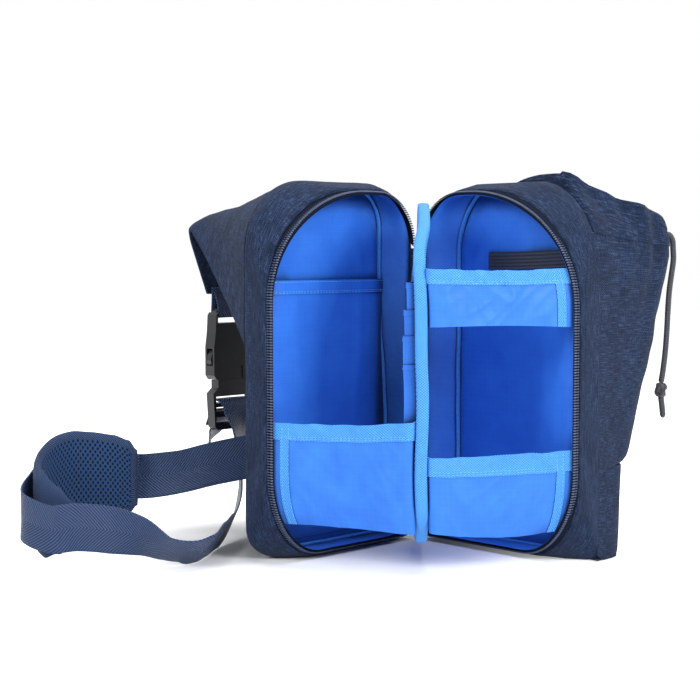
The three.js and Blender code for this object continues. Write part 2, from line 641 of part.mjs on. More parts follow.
// ---------------------------------------------------------------- pouch on the front half
// Plan of the pouch wall: out from the face, round two corners, and back to the face.
// Where the face's corners are round, its sides start at the face's own edge.
function pouchPlan(out, r, t, n = 6, back = 0, z = 0) {
  const a = 2.5 + t;
  const b = W - 0.6 - t;
  const [fa, fb] = faceEdges(z);
  const y0 = D + SEAT + back;
  const y1 = D + out - t;
  const rr = Math.max(2, r - t);
  const pts = [V(Math.min(b, fb - t), y0, 0)];
  for (let i = 0; i <= n; i++) {
    const q = rad((90 * i) / n);
    pts.push(V(b - rr + rr * Math.cos(q), y1 - rr + rr * Math.sin(q), 0));
  }
  for (let i = 0; i <= n; i++) {
    const q = rad(90 + (90 * i) / n);
    pts.push(V(a + rr + rr * Math.cos(q), y1 - rr + rr * Math.sin(q), 0));
  }
  pts.push(V(Math.max(a, fa + t), y0, 0));
  return pts;
}
const POUCH_R = 30;
function pouchOut(z) {
  const p = POUCH;
  if (z <= p.split) return mix(p.out0, p.out1, z / p.split);
  const t = (z - p.split) / (p.bellyZ - p.split);
  const swell = p.puff * (1 - Math.exp((p.split - z) / 8));
  if (t <= 1) return mix(p.out1, p.belly - p.puff, t) + swell;
  const s = (z - p.bellyZ) / (p.lipZ - p.bellyZ);
  return mix(p.belly, p.lip, s * s);
}
// Tilt of the mouth: it rises towards the face, and most at the free side.
function rise(x, y, z) {
  const s = clamp01((z - POUCH.bellyZ) / (POUCH.lipZ - POUCH.bellyZ));
  const f = clamp01((y - D) / POUCH.lip);
  return z + POUCH.tilt * s * (1 - f) ** 1.4 * smooth((x - 5) / 105);
}
function tilted(p, z) {
  p.z = rise(p.x, p.y, z);
  return p;
}
// Edges of the face at the height to which the wall's level z rises there.
function faceEdges(z) {
  const kept = form;
  form = FORM.front;
  const level = (x) => Math.min(H - 6, Math.max(20, rise(x, D, z)));
  let fa = 4;
  let fb = W - 2;
  for (let i = 0; i < 5; i++) {
    fa = spanAt(D, 0, level(fa))[0];
    fb = mix(fb, spanAt(D, 0, level(fb))[1], 0.7);
  }
  form = kept;
  return [fa, fb];
}
// The sides at the given places of an open line, each parted into m.
function parted(line, places, m) {
  const pts = [];
  line.forEach((p, i) => {
    const n = places.includes(i) ? m : 1;
    const next = line[(i + 1) % line.length];
    for (let j = 0; j < n; j++) pts.push(p.clone().lerp(next, j / n));
  });
  return pts;
}
function pouchWall(zs, t) {
  const loops = zs.map((z) => {
    const outer = parted(pouchPlan(pouchOut(z), POUCH_R, 0, 6, 0, z), [0, 14], 5);
    const inner = parted(pouchPlan(pouchOut(z), POUCH_R, t, 6, 0, z), [0, 14], 5).reverse();
    return outer.concat(inner).map((p) => tilted(p, z));
  });
  return loft(loops, { cap: 'pair' });
}
function pouchBase() {
  const p = POUCH;
  const top = p.split - SEAT;
  const plan = (z, t) => {
    const o = pouchPlan(pouchOut(Math.min(z, p.split)), 20, t);
    o.forEach((q) => { q.z = z; });
    return o;
  };
  const outer = loft([plan(FLOOR, 0), plan(top, 0)]);
  const inner = loft([plan(FLOOR + BASE_T, BASE_T), plan(top + 4, BASE_T)].map((l) => {
    l[0].y = D - 2;
    l[l.length - 1].y = D - 2;
    return l;
  }));
  return cut(outer, inner);
}
// Gathered hem: a pleated ring on the wall's top and along the face, thick enough to
// hold the drawstring.
const HEM_Z = POUCH.lipZ - 20;
const HEM_T = 3.4;
function pouchHem() {
  const pleats = 10;
  const wave = (i, z) => 1.6 * Math.cos(i * Math.PI) * smooth((z - HEM_Z) / 12);
  const ringAt = (z, t) => {
    const o = pouchPlan(pouchOut(z), POUCH_R, t, 6, t, z);
    const line = parted(o, [0, 7, 14, 15], pleats);
    return line.map((p, i) => {
      const a = line[(i + line.length - 1) % line.length];
      const b = line[(i + 1) % line.length];
      const nrm = V(b.y - a.y, a.x - b.x, 0).normalize();
      const q = p.clone().addScaledVector(nrm, wave(i, z));
      q.y = Math.max(q.y, D + SEAT);
      return tilted(q, z);
    });
  };
  const up = [HEM_Z, HEM_Z + 6, HEM_Z + 14, POUCH.lipZ];
  const outer = up.map((z) => ringAt(z, 0));
  const inner = up.reverse().map((z) => ringAt(z, HEM_T));
  return loft(outer.concat(inner), { ring: true });
}

// Drawstring: out of the hem's free corner and down beside the pouch to its knot.
const CORD_TOP = POUCH.lipZ - 9;
const CORD_ROUTE = [
  [169.55, 106.05, 0], [171.9, 108.4, 0.8], [173.8, 110.4, 5], [173.6, 112, 12],
  [172.5, 114.5, 23], [171.5, 113.2, 36.3], [171, 111.1, 49.7], [171, 109.2, 67.5],
  [171, 108, 85.3], [171, 106.1, 103], [171, 102.7, 121], [171, 99.6, 132.3],
].map(([w, out, drop]) => V(w, D + out, CORD_TOP - drop));
function tube(points, r, n, sides) {
  const curve = new THREE.CatmullRomCurve3(points);
  const loops = [];
  for (let i = 0; i <= n; i++) {
    const f = i / n;
    const p = curve.getPointAt(f);
    const tan = curve.getTangentAt(f);
    const a = V(0, 0, 1).cross(tan);
    if (a.length() < 0.2) a.set(0.86, 0.5, 0).cross(tan);
    a.normalize();
    loops.push({ p, tan, a });
  }
  for (let i = 1; i <= n; i++) {
    const prev = loops[i - 1].a;
    loops[i].a = prev.clone().addScaledVector(loops[i].tan, -prev.dot(loops[i].tan)).normalize();
  }
  return loft(loops.map(({ p, tan, a }) => {
    const b = tan.clone().cross(a);
    return steps(sides - 1, 0, sides - 1).map((k) => {
      const q = (2 * Math.PI * k) / sides;
      return p.clone().addScaledVector(a, r * Math.cos(q)).addScaledVector(b, r * Math.sin(q));
    });
  }));
}

// Slider parked at the zip's top end, on the hinge-side corner. Its puller swings on a
// round bail on the outside of the bag.
const PARK = 7.5;              // degrees round that corner
const BAIL_R = 1.5;
const PULLER = { t: 1.6, w: 3.2, h: 22 };
const BAIL_D = 6.9;
function zipSlider(g) {
  form = FORM.front;
  const s = shapeAt(3);
  const [r, rz] = s.hs;
  const q = rad(PARK);
  const mid = V(r - (r - 1.2) * Math.cos(q), 5.2, s.top - rz + (rz - 1.2) * Math.sin(q));
  const body = block(0, 0, 0, 4.2, 9, 10.6);
  body.rotateY(q);
  body.translate(mid.x, mid.y, mid.z);
  const bail = new THREE.CylinderGeometry(BAIL_R, BAIL_R, 3, 14);
  const pin = V(mid.x - 4.4, BAIL_D, mid.z);
  bail.translate(pin.x, pin.y, pin.z);
  const lug = block(mid.x - 2.8, BAIL_D, mid.z, 3, 3, 2);
  g.add(meshOf('zip_slider', join(body, bail, lug), alloy));
  const top = pin.z - BAIL_R - SEAT;
  const puller = block(pin.x, BAIL_D, top - PULLER.h / 2, PULLER.t, PULLER.w, PULLER.h);
  g.add(meshOf('zip_puller', puller, blackWeb));
}

function frontHalf() {
  const g = half('front');
  const elastic = (u, v) => V(mix(60, 137, u),
    faceD - SEAT - 0.8 - 5 * Math.sin(Math.PI * u) ** 0.5, mix(243, 258, v));
  const us = [0, 0.04, 0.1, 0.2, 0.35, 0.5, 0.65, 0.8, 0.9, 0.96, 1];
  g.add(meshOf('front_elastic_strap', sheet(elastic, us, [0, 1], 1.2, (p) => {
    p.y = Math.min(p.y, faceD - SEAT);
    return p;
  }), blackWeb));
  g.add(meshOf('pouch_base', pouchBase(), heather));
  const zs = [0, 4, 9, 17, 30, 54, 90, 124, 152].map((k) => POUCH.split + k);
  zs.push(POUCH.bellyZ, HEM_Z - SEAT);
  g.add(meshOf('pouch_wall', pouchWall(zs, POUCH_T), heather));
  g.add(meshOf('pouch_hem', pouchHem(), heather));
  g.add(meshOf('drawstring', tube(CORD_ROUTE, CORD / 2, 36, 8), blackWeb));
  const end = CORD_ROUTE[CORD_ROUTE.length - 1];
  const knot = new THREE.SphereGeometry(1, 10, 7);
  knot.scale(5.4, 5.4, 6.6);
  knot.translate(end.x, end.y, end.z - 6.9);
  g.add(meshOf('drawstring_knot', knot, blackWeb));
  const tail = tube([V(end.x, end.y + 0.6, end.z - 13.8), V(end.x, end.y + 2.4, end.z - 22),
    V(end.x, end.y + 4, end.z - 31)], CORD / 2, 6, 8);
  g.add(meshOf('drawstring_tail', tail, blackWeb));
  zipSlider(g);
  return g;
}

// ---------------------------------------------------------------- divider leaf
// Own frame: w along the leaf from the hinge line, y through it, front half on +y.
function leafOutline(inset, y) {
  const a = LEAF_W0 + inset;
  const b = LEAF_W1 - inset;
  const lo = LEAF_Z0 + inset;
  const hi = LEAF_Z1 - inset;
  const r = [[46, 46, 5], [108, 84, 8], [34, 44, 5], [10, 10, 3]];
  const c = [[a, hi, 180], [b, hi, 90], [b, lo, 0], [a, lo, -90]];
  const pts = [];
  r.forEach(([rw, rz, n], j) => {
    const q = Math.max(1.5, rw - inset);
    const k = Math.max(1.5, rz - inset);
    const [cw, cz, a0] = c[j];
    const ow = j === 0 || j === 3 ? cw + q : cw - q;
    const oz = j < 2 ? cz - k : cz + k;
    for (let i = 0; i <= n; i++) {
      const t = rad(a0 - (90 * i) / n);
      pts.push(V(ow + q * Math.cos(t), y, oz + k * Math.sin(t)));
    }
  });
  return pts;
}
function leafBinding() {
  const t = LEAF_T / 2 + EDGE_T;
  const c = [leafOutline(0.6, t), leafOutline(0, t - 1), leafOutline(0, -t + 1),
    leafOutline(0.6, -t), leafOutline(6, -t), leafOutline(6, -LEAF_T / 2 - SEAT),
    leafOutline(1.6, -LEAF_T / 2 - SEAT), leafOutline(1.6, LEAF_T / 2 + SEAT),
    leafOutline(6, LEAF_T / 2 + SEAT), leafOutline(6, t)];
  return loft(c[0].map((_, i) => c.map((o) => o[i])), { ring: true });
}
function cardPocket(i) {
  const top = LEAF_Z1 - CARD_DROPS[i];
  const y = -LEAF_T / 2 - SEAT - CARD_T / 2 - i * (CARD_T + SEAT);
  const a = LEAF_W0 + 10;
  const b = LEAF_W1 - 14 + i;
  const z0 = LEAF_Z0 + 60 + 3 * i;
  return plate([[a, z0], [b, z0], [b, top], [a, top]], y - CARD_T / 2, y + CARD_T / 2);
}
function divider() {
  const g = new THREE.Group();
  const t = LEAF_T / 2;
  g.add(meshOf('divider_board', loft([leafOutline(2, t), leafOutline(2, -t)]), ripstop));
  g.add(meshOf('divider_binding', leafBinding(), skyBinding));
  CARD_DROPS.forEach((_, i) => g.add(meshOf(`card_pocket_${i + 1}`, cardPocket(i), ripstop)));
  g.add(meshOf('divider_hinge_tape', block(4.8, 0, 138, 7.6, 0.6, 200), ripstop));
  g.rotation.z = -rad(LEAF_ANGLE);
  return g;
}

// ---------------------------------------------------------------- bands
// A band hangs between the divider's edge and a half's rim; both ends lap their carrier.
const leafPoint = (w, y) => {
  const a = -rad(LEAF_ANGLE);
  return [w * Math.cos(a) - y * Math.sin(a), w * Math.sin(a) + y * Math.cos(a)];
};

// ---------------------------------------------------------------- the bag
const bag = new THREE.Group();
const front = frontHalf();
const back = backHalf();
back.scale.set(1, -1, 1);
back.rotation.z = -Math.PI / 2;
bag.add(front, back, divider());

// Route of a band in plan at height z, from the leaf's bound edge to the inside of the
// rim, whose rounded corner it follows.
function bandRoute(side, z, t) {
  form = FORM[side === 'left' ? 'back' : 'front'];
  const k = side === 'left' ? -1 : 1;
  const y = LEAF_T / 2 + EDGE_T + SEAT + t / 2 + 0.1;
  const on = (w, off) => leafPoint(LEAF_W1 + w, k * off);
  const rim = (d, gap) => {
    const w = spanAt(d, TAPE_IN + SEAT + t / 2 + gap, z)[1];
    return k < 0 ? [-d, -w] : [w, d];
  };
  const a = [on(-7.2, y), on(-4.6, y), on(-2.6, y + 1.4), on(-2.2, y + 5)];
  const b = [rim(2.2, 1.4), rim(4.5, 0.25), rim(9.5, 0.2)];
  const mid = [mix(a[3][0], b[0][0], 0.5) + 3 * k, mix(a[3][1], b[0][1], 0.5) + 3];
  return new THREE.CatmullRomCurve3([...a, mid, ...b].map(([x, q]) => V(x, q, z)), false,
    'centripetal');
}
function bandSheet(side, z0, z1, t) {
  const us = steps(4);
  const curves = new Map();
  const at2 = (u, v) => {
    const key = u.toFixed(5);
    if (!curves.has(key)) curves.set(key, bandRoute(side, mix(z0, z1, u), t));
    return curves.get(key).getPoint(v);
  };
  return sheet(at2, us, steps(21), t);
}
function band(name, spec, side) {
  const hem = spec.z1 - spec.hem;
  bag.add(meshOf(`${name}_band`, bandSheet(side, spec.z0, hem - SEAT, BAND_T), ripstop));
  bag.add(meshOf(`${name}_band_binding`, bandSheet(side, hem, spec.z1, BAND_T + 1), skyBinding));
}
band('lower_left', LOW_LEFT, 'left');
band('lower_right', LOW_RIGHT, 'right');
band('upper_right', UP_RIGHT, 'right');

// The origin is the middle of the footprint on the floor, measured without the cord.
bag.updateMatrixWorld(true);
const box = new THREE.Box3();
bag.traverse((m) => {
  if (m.isMesh && !m.name.startsWith('drawstring')) box.expandByObject(m, true);
});
bag.position.set(-(box.min.x + box.max.x) / 2, -(box.min.y + box.max.y) / 2, -box.min.z);
bag.updateMatrixWorld(true);

export default bag;
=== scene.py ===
# Clamshell sling bag for a camera, standing open like a book on a pale table.
import math

import bmesh
import bpy
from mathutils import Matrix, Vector, noise
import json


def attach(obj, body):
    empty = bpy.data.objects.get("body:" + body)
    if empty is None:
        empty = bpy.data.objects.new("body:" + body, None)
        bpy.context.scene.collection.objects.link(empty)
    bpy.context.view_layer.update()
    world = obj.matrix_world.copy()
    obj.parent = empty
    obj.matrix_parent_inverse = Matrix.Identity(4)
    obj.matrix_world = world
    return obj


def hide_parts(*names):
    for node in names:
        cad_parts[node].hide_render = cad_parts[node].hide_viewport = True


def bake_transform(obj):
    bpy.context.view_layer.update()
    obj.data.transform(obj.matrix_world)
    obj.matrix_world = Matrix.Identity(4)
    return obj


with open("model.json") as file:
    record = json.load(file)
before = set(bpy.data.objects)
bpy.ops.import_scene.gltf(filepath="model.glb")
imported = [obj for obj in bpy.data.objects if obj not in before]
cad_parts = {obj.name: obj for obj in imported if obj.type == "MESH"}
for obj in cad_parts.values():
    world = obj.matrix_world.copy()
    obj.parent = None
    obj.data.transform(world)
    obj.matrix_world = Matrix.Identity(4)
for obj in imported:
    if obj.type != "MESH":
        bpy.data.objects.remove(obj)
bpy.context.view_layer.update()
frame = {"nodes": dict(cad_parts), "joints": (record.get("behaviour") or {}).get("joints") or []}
bpy.ops.object.select_all(action="DESELECT")

# ------------------------------------------------------------------ camera, table and lights
# The photographer stood square to the opened bag, a little below its top, with a
# short tele lens. The table and the backdrop are white, and the light is soft.
MM = 0.001
EYE_FROM_HINGE = Vector((0.90904, -0.99424, 0))
EYE_HEIGHT = 0.2615
EYE_DOWN, EYE_ROUND = 3.76, 45      # degrees below level, and round from the x axis
LENS, SENSOR = 76.5, 36
hinge = Vector(next(j["pos_m"] for j in frame["joints"] if j["name"] == "clamshell_hinge"))

eye = hinge + EYE_FROM_HINGE
eye.z = EYE_HEIGHT
bpy.ops.object.camera_add(location=eye,
                          rotation=(math.radians(90 - EYE_DOWN), 0, math.radians(EYE_ROUND)))
camera = bpy.context.object
camera.data.lens = LENS
camera.data.sensor_width = SENSOR
bpy.context.scene.camera = camera
bpy.context.scene.view_settings.view_transform = "Standard"


def linear(code):
    """An sRGB hex colour as the linear values that a shader takes."""
    parts = [int(code[i:i + 2], 16) / 255 for i in (1, 3, 5)]
    parts = [c / 12.92 if c <= 0.04045 else ((c + 0.055) / 1.055) ** 2.4 for c in parts]
    return (*parts, 1.0)


def material(name):
    """A new material with an empty node tree."""
    made = bpy.data.materials.new(name)
    made.use_nodes = True
    made.node_tree.nodes.clear()
    return made, made.node_tree


def add(tree, kind, settings=None, **sockets):
    """Adds a node. A socket is its words joined by _, or i and its number, and takes a
    value or a link."""
    made = tree.nodes.new(kind)
    for key, value in (settings or {}).items():
        setattr(made, key, value)
    for key, value in sockets.items():
        words = key.replace("_", " ").lower()
        if key[0] == "i" and key[1:].isdigit():
            target = made.inputs[int(key[1:])]
        else:
            target = next(s for s in made.inputs if s.name.lower() == words)
        if isinstance(value, bpy.types.NodeSocket):
            tree.links.new(value, target)
        else:
            target.default_value = value
    return made


def seen_white(tree):
    """1 for the rays to which the table and the room show plain white."""
    ray = add(tree, "ShaderNodeLightPath")
    seen = add(tree, "ShaderNodeMath", {"operation": "MAXIMUM"},
               i0=ray.outputs["Is Camera Ray"], i1=ray.outputs["Is Glossy Ray"])
    return add(tree, "ShaderNodeMath", {"operation": "MAXIMUM"},
               i0=seen.outputs[0], i1=ray.outputs["Is Transmission Ray"]).outputs[0]


# The table is white laminate. A white glow comes in from 70 to 320 mm out, so that only the
# shadow under the bag shows on it.
table_white, tree = material("matte white laminate")
lit = add(tree, "ShaderNodeBsdfDiffuse", Color=linear("#f4f5f7"))
away = add(tree, "ShaderNodeVectorMath", {"operation": "LENGTH"},
           Vector=add(tree, "ShaderNodeTexCoord").outputs["Object"])
fade = add(tree, "ShaderNodeMapRange", {"interpolation_type": "SMOOTHSTEP"},
           Value=away.outputs["Value"], From_Min=0.07, From_Max=0.32, To_Min=0.0, To_Max=0.95)
glow = add(tree, "ShaderNodeEmission", Color=(1, 1, 1, 1), Strength=fade.outputs[0])
both = add(tree, "ShaderNodeAddShader", i0=lit.outputs[0], i1=glow.outputs[0])
pick = add(tree, "ShaderNodeMixShader", Fac=seen_white(tree), i1=lit.outputs[0], i2=both.outputs[0])
add(tree, "ShaderNodeOutputMaterial", Surface=pick.outputs[0])

bpy.ops.mesh.primitive_plane_add(size=9, location=(0, 0, -0.0004))
table = bpy.context.object
table.name = "table_top"
table.data.materials.append(table_white)

world = bpy.data.worlds.new("white studio")
bpy.context.scene.world = world
world.use_nodes = True
tree = world.node_tree
tree.nodes.clear()
room = add(tree, "ShaderNodeBackground", Color=(1, 1, 1, 1), Strength=0.2)
white = add(tree, "ShaderNodeBackground", Color=(1, 1, 1, 1), Strength=1.0)
pick = add(tree, "ShaderNodeMixShader", Fac=seen_white(tree), i1=room.outputs[0], i2=white.outputs[0])
add(tree, "ShaderNodeOutputWorld", Surface=pick.outputs[0])


def softbox(name, place, aim, size, watts):
    """A square soft light that faces aim."""
    turn = (Vector(aim) - Vector(place)).to_track_quat("-Z", "Y").to_euler()
    bpy.ops.object.light_add(type="AREA", location=place, rotation=turn)
    lamp = bpy.context.object
    lamp.name = name
    lamp.data.size = size
    lamp.data.energy = watts


softbox("softbox_right", (1.4, -0.02, 0.72), (0, 0, 0.15), 0.55, 16)
softbox("softbox_left", (-0.02, -1.4, 0.82), (0, 0, 0.15), 0.55, 12)
softbox("softbox_over", (0.1, 0.1, 1.7), (0, 0, 0.1), 1.1, 22)
softbox("softbox_front", (1.0, -1.1, 0.9), (0, 0, 0.15), 0.9, 4)


# ------------------------------------------------------------------ drawstring
# Round polyester braid, 5 mm thick, that gathers the pouch. Its free length comes out of
# the hem, drops over the pouch's shoulder, and ends in an overhand knot.
FOOT = 3.5      # the bottom seams stand this far above the table, where the cloth sags


def in_front(w, d, z):
    """A place on the front half: across from the hinge, out through the face, and up
    from the bottom seams."""
    return Vector((hinge.x + w * MM, hinge.y + d * MM, (z + FOOT) * MM))


FACE = 36       # how deep a half is, from its rim to its face
CORD = 5.2
CORD_TOP = 274
CORD_ROUTE = [(169.55, 106.05, 0), (171.9, 108.4, 0.8), (173.8, 110.4, 5), (173.6, 112, 12),
              (172.5, 114.5, 23), (171.5, 113.2, 36.3), (171, 111.1, 49.7), (171, 109.2, 67.5),
              (171, 108, 85.3), (171, 106.1, 103), (171, 102.7, 121), (171, 99.6, 132.3)]


def through(stops, count):
    """Points along a smooth line through the stops, spaced by the roots of their gaps."""
    pts = [Vector(p) for p in stops]
    pts = [pts[0] * 2 - pts[1]] + pts + [pts[-1] * 2 - pts[-2]]
    out = []
    last = len(pts) - 3
    for i in range(count + 1):
        at = i / count * last
        k = min(int(at), last - 1)
        f = at - k
        a, b, c, d = pts[k:k + 4]
        gap = [max(1e-6, (q - p).length ** 0.5) for p, q in ((a, b), (b, c), (c, d))]
        m1 = ((b - a) / gap[0] - (c - a) / (gap[0] + gap[1]) + (c - b) / gap[1]) * gap[1]
        m2 = ((c - b) / gap[1] - (d - b) / (gap[1] + gap[2]) + (d - c) / gap[2]) * gap[1]
        e = 2 * b - 2 * c + m1 + m2
        g = -3 * b + 3 * c - 2 * m1 - m2
        out.append(b + m1 * f + g * f * f + e * f ** 3)
    return out


def run_along(points, unit=1.0):
    """The way from the first point to each one, along the line through them."""
    run = [0.0]
    for a, b in zip(points, points[1:]):
        run.append(run[-1] + (b - a).length / unit)
    return run


def cloth(name, across, along, lay, ring=False):
    """A blank of across by along meshes, laid by lay(u, v). Its UV map is in millimetres."""
    bpy.ops.object.select_all(action="DESELECT")
    bpy.ops.mesh.primitive_grid_add(x_subdivisions=across, y_subdivisions=along, size=1)
    piece = bpy.context.object
    piece.name = piece.data.name = name
    mesh = piece.data
    rows = [[lay(i / across, j / along) for i in range(across + 1)] for j in range(along + 1)]
    spots = [c for row in rows for p in row for c in p]
    mesh.vertices.foreach_set("co", spots)
    run = run_along(rows[along // 2], MM)
    rise = run_along([row[across // 2] for row in rows], MM)
    chart = mesh.uv_layers.active.data
    for corner in mesh.loops:
        j, i = divmod(corner.vertex_index, across + 1)
        chart[corner.index].uv = (run[i], rise[j])
    if ring:
        made = bmesh.new()
        made.from_mesh(mesh)
        made.verts.ensure_lookup_table()
        step = across + 1
        weld = {made.verts[j * step + across]: made.verts[j * step] for j in range(along + 1)}
        bmesh.ops.weld_verts(made, targetmap=weld)
        made.to_mesh(mesh)
        made.free()
    mesh.update()
    return piece


def take(piece):
    """Selects this piece alone."""
    bpy.ops.object.select_all(action="DESELECT")
    bpy.context.view_layer.objects.active = piece
    piece.select_set(True)


def apply(piece, kind, **settings):
    """Adds one modifier to a piece and applies it."""
    take(piece)
    work = piece.modifiers.new(kind.lower(), kind)
    for key, value in settings.items():
        setattr(work, key, value)
    bpy.ops.object.modifier_apply(modifier=work.name)


def finish(piece, finish_of, body=None, stands_for=(), angle=55):
    """Smooth shading, material, body and the CAD nodes that the piece stands for."""
    take(piece)
    bpy.ops.object.shade_smooth_by_angle(angle=math.radians(angle))
    piece.data.materials.clear()
    piece.data.materials.append(finish_of)
    if body:
        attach(piece, body)
    if stands_for:
        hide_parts(*stands_for)
    return piece


def close_ends(piece):
    """Caps the open ends of a tube, and turns its faces outwards."""
    take(piece)
    bpy.ops.object.mode_set(mode="EDIT")
    bpy.ops.mesh.select_mode(type="EDGE")
    bpy.ops.mesh.select_all(action="DESELECT")
    bpy.ops.mesh.select_non_manifold()
    bpy.ops.mesh.edge_face_add()
    bpy.ops.mesh.select_all(action="SELECT")
    bpy.ops.mesh.normals_make_consistent(inside=False)
    bpy.ops.object.mode_set(mode="OBJECT")


def tube(name, line, radius, sides):
    """A closed round tube along a line of points, with both ends drawn in."""
    up = Vector((0.3, -0.2, 1)).normalized()
    frames = []
    for i, p in enumerate(line):
        along = (line[min(i + 1, len(line) - 1)] - line[max(i - 1, 0)]).normalized()
        side = along.cross(up if i == 0 else frames[-1][2]).normalized()
        frames.append((p, side, side.cross(along).normalized()))
    count = len(line) - 1

    def lay(u, v):
        k = round(v * count)
        p, side, face = frames[k]
        r = radius * MM * (0.55 if k in (0, count) else 1.0)
        turn = 2 * math.pi * u
        return p + side * (r * math.cos(turn)) + face * (r * math.sin(turn))

    piece = cloth(name, sides, count, lay, ring=True)
    close_ends(piece)
    return piece


# Black braid: polyester yarns 0.8 mm wide, drawn at 1.6 mm so that they show, crossing
# on the slant, matt with a slight shine on each yarn.
braid, tree = material("braided polyester")
spot = add(tree, "ShaderNodeTexCoord").outputs["UV"]
turned = add(tree, "ShaderNodeMapping", Vector=spot, Rotation=(0, 0, math.radians(45)),
             Scale=(1 / 1.6, 1 / 1.6, 1))
cross = add(tree, "ShaderNodeTexChecker", Vector=turned.outputs[0], Scale=1.0)
fleck = add(tree, "ShaderNodeTexNoise", Vector=spot, Scale=0.9, Detail=2.0)
tone = add(tree, "ShaderNodeMix", {"data_type": "RGBA"}, i0=cross.outputs["Fac"],
           i6=linear("#202126"), i7=linear("#4a4b53"))
tone2 = add(tree, "ShaderNodeMix", {"data_type": "RGBA"}, i0=fleck.outputs["Fac"],
            i6=tone.outputs[2], i7=linear("#303138"))
bump = add(tree, "ShaderNodeBump", Strength=0.5, Distance=0.0004, Height=cross.outputs["Fac"])
skin = add(tree, "ShaderNodeBsdfPrincipled", Base_Color=tone2.outputs[2], Roughness=0.75,
           Sheen_Weight=0.2, Normal=bump.outputs[0])
add(tree, "ShaderNodeOutputMaterial", Surface=skin.outputs[0])

cord_line = [in_front(w, FACE + out, CORD_TOP - drop) for w, out, drop in through(CORD_ROUTE, 66)]
drawstring = tube("drawstring_braid", cord_line, CORD / 2, 10)
finish(drawstring, braid, "front_half", ["drawstring"])

# The overhand knot: one turn of the braid wound tightly on itself, as a trefoil.
KNOT_DOWN, KNOT_WAVE = 6.1, 4.1
KNOT_N = 48
knot_top = cord_line[-1]
knot_line = []
for i in range(KNOT_N + 1):
    t = i / KNOT_N * 2 * math.pi
    ring_r = 2.6 + 0.9 * math.cos(3 * t)
    knot_line.append(knot_top + Vector((ring_r * math.cos(2 * t), ring_r * math.sin(2 * t),
                                        -KNOT_DOWN + KNOT_WAVE * math.sin(3 * t))) * MM)
knot = tube("drawstring_knot_turns", knot_line, 2.35, 8)
finish(knot, braid, "front_half", ["drawstring_knot"])
end_line = [knot_top + p * MM for p in
            through([(0, 0.3, -11.5), (0, 0.6, -13.8), (0, 2.4, -22), (0, 4, -31)], 12)]
knot_end = tube("drawstring_end", end_line, CORD / 2, 10)
finish(knot_end, braid, "front_half", ["drawstring_tail"])
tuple(cord_line[0])
run_along(cord_line)[-1]


# ------------------------------------------------------------------ outer shells
# Each half is a tray of foam-backed melange polyester: a gusset that runs round the rim,
# and a flat face sewn to it. The gusset's edge is folded over the zip tape.
def in_back(w, d, z):
    """A place on the back half, in the same terms as in_front."""
    return Vector((hinge.x - d * MM, hinge.y - w * MM, (z + FOOT) * MM))


PLACE = {"front": in_front, "back": in_back}
# A half's outline at some depths from the rim: depth, free edge, top and bottom, then the
# width and height of each rounded corner: hinge-side top, free-side top, free-side low, last.
RIM = (0, 175.5, 310, 1, 48, 48, 124, 100, 60, 80, 14, 14)
STATIONS = {
    "front": [RIM, (24, 177.4, 318.4, -3.5, 58, 58, 70, 98, 30, 34, 14, 14),
              (33.5, 178, 319, -3.5, 62, 62, 64, 96, 14, 14, 12, 12),
              (36, 177.4, 317.5, -3, 60, 60, 62, 94, 10, 10, 10, 10)],
    "back": [RIM, (24, 176, 318.4, -3.5, 40, 40, 60, 66, 42, 40, 14, 14),
             (33.5, 175.5, 319, -3.5, 36, 36, 60, 62, 38, 28, 14, 14),
             (36, 173, 316.5, -1, 34, 34, 58, 60, 36, 26, 12, 12)],
}
# Meshes along each stretch of the outline, from the hinge side over the top and back.
RUNS = [12, 6, 28, 16, 16, 12, 5, 24]
ZIP_RUN = sum(RUNS[:7])
MIDDLE = (88.0, 155.0)      # of both faces


def joined(arcs):
    """A closed line of (w, z) round four quarter arcs. Each is its centre, its width and
    height, its first angle, and the meshes along it and along the straight after it."""
    pts = []
    for n, (cw, cz, rw, rz, a0, count, run) in enumerate(arcs):
        for i in range(count + 1):
            a = math.radians(a0 - 90 * i / count)
            pts.append((cw + rw * math.cos(a), cz + rz * math.sin(a)))
        nw, nz, nrw, nrz, n0, _, _ = arcs[(n + 1) % 4]
        a = math.radians(n0)
        start, stop = pts[-1], (nw + nrw * math.cos(a), nz + nrz * math.sin(a))
        for i in range(1, run):
            f = i / run
            pts.append((start[0] + (stop[0] - start[0]) * f, start[1] + (stop[1] - start[1]) * f))
    return pts + [pts[0]]


def outline(side, d, inset=0.0):
    """The outline of a half at depth d, drawn in by inset, as a closed list of (w, z)."""
    rows = STATIONS[side]
    k = 0
    while k < 2 and d > rows[k + 1][0]:
        k += 1
    f = (d - rows[k][0]) / (rows[k + 1][0] - rows[k][0])
    edge, top, low, *corner = [a + (b - a) * f for a, b in zip(rows[k][1:], rows[k + 1][1:])]
    a1, b1, a2, b2, a3, b3, a4, b4 = [max(1.5, r - inset) for r in corner]
    lo, hi, e = low + inset, top - inset, edge - inset
    return joined([(inset + a1, hi - b1, a1, b1, 180, *RUNS[0:2]),
                   (e - a2, hi - b2, a2, b2, 90, *RUNS[2:4]),
                   (e - a3, lo + b3, a3, b3, 0, *RUNS[4:6]),
                   (inset + a4, lo + b4, a4, b4, -90, *RUNS[6:8])])


def drawn_in(w, z, f):
    """A place drawn in towards the middle of the face, to f of its way out."""
    return MIDDLE[0] + (w - MIDDLE[0]) * f, MIDDLE[1] + (z - MIDDLE[1]) * f


def clip(t):
    """t, kept between 0 and 1."""
    return min(1, max(0, t))


def slack(w, d, z, size, seed):
    """Soft waves of loose cloth, within +-1, the same on every run."""
    return noise.noise(Vector((w / size + seed * 7.3, d / size - seed * 3.1, z / size + seed)))


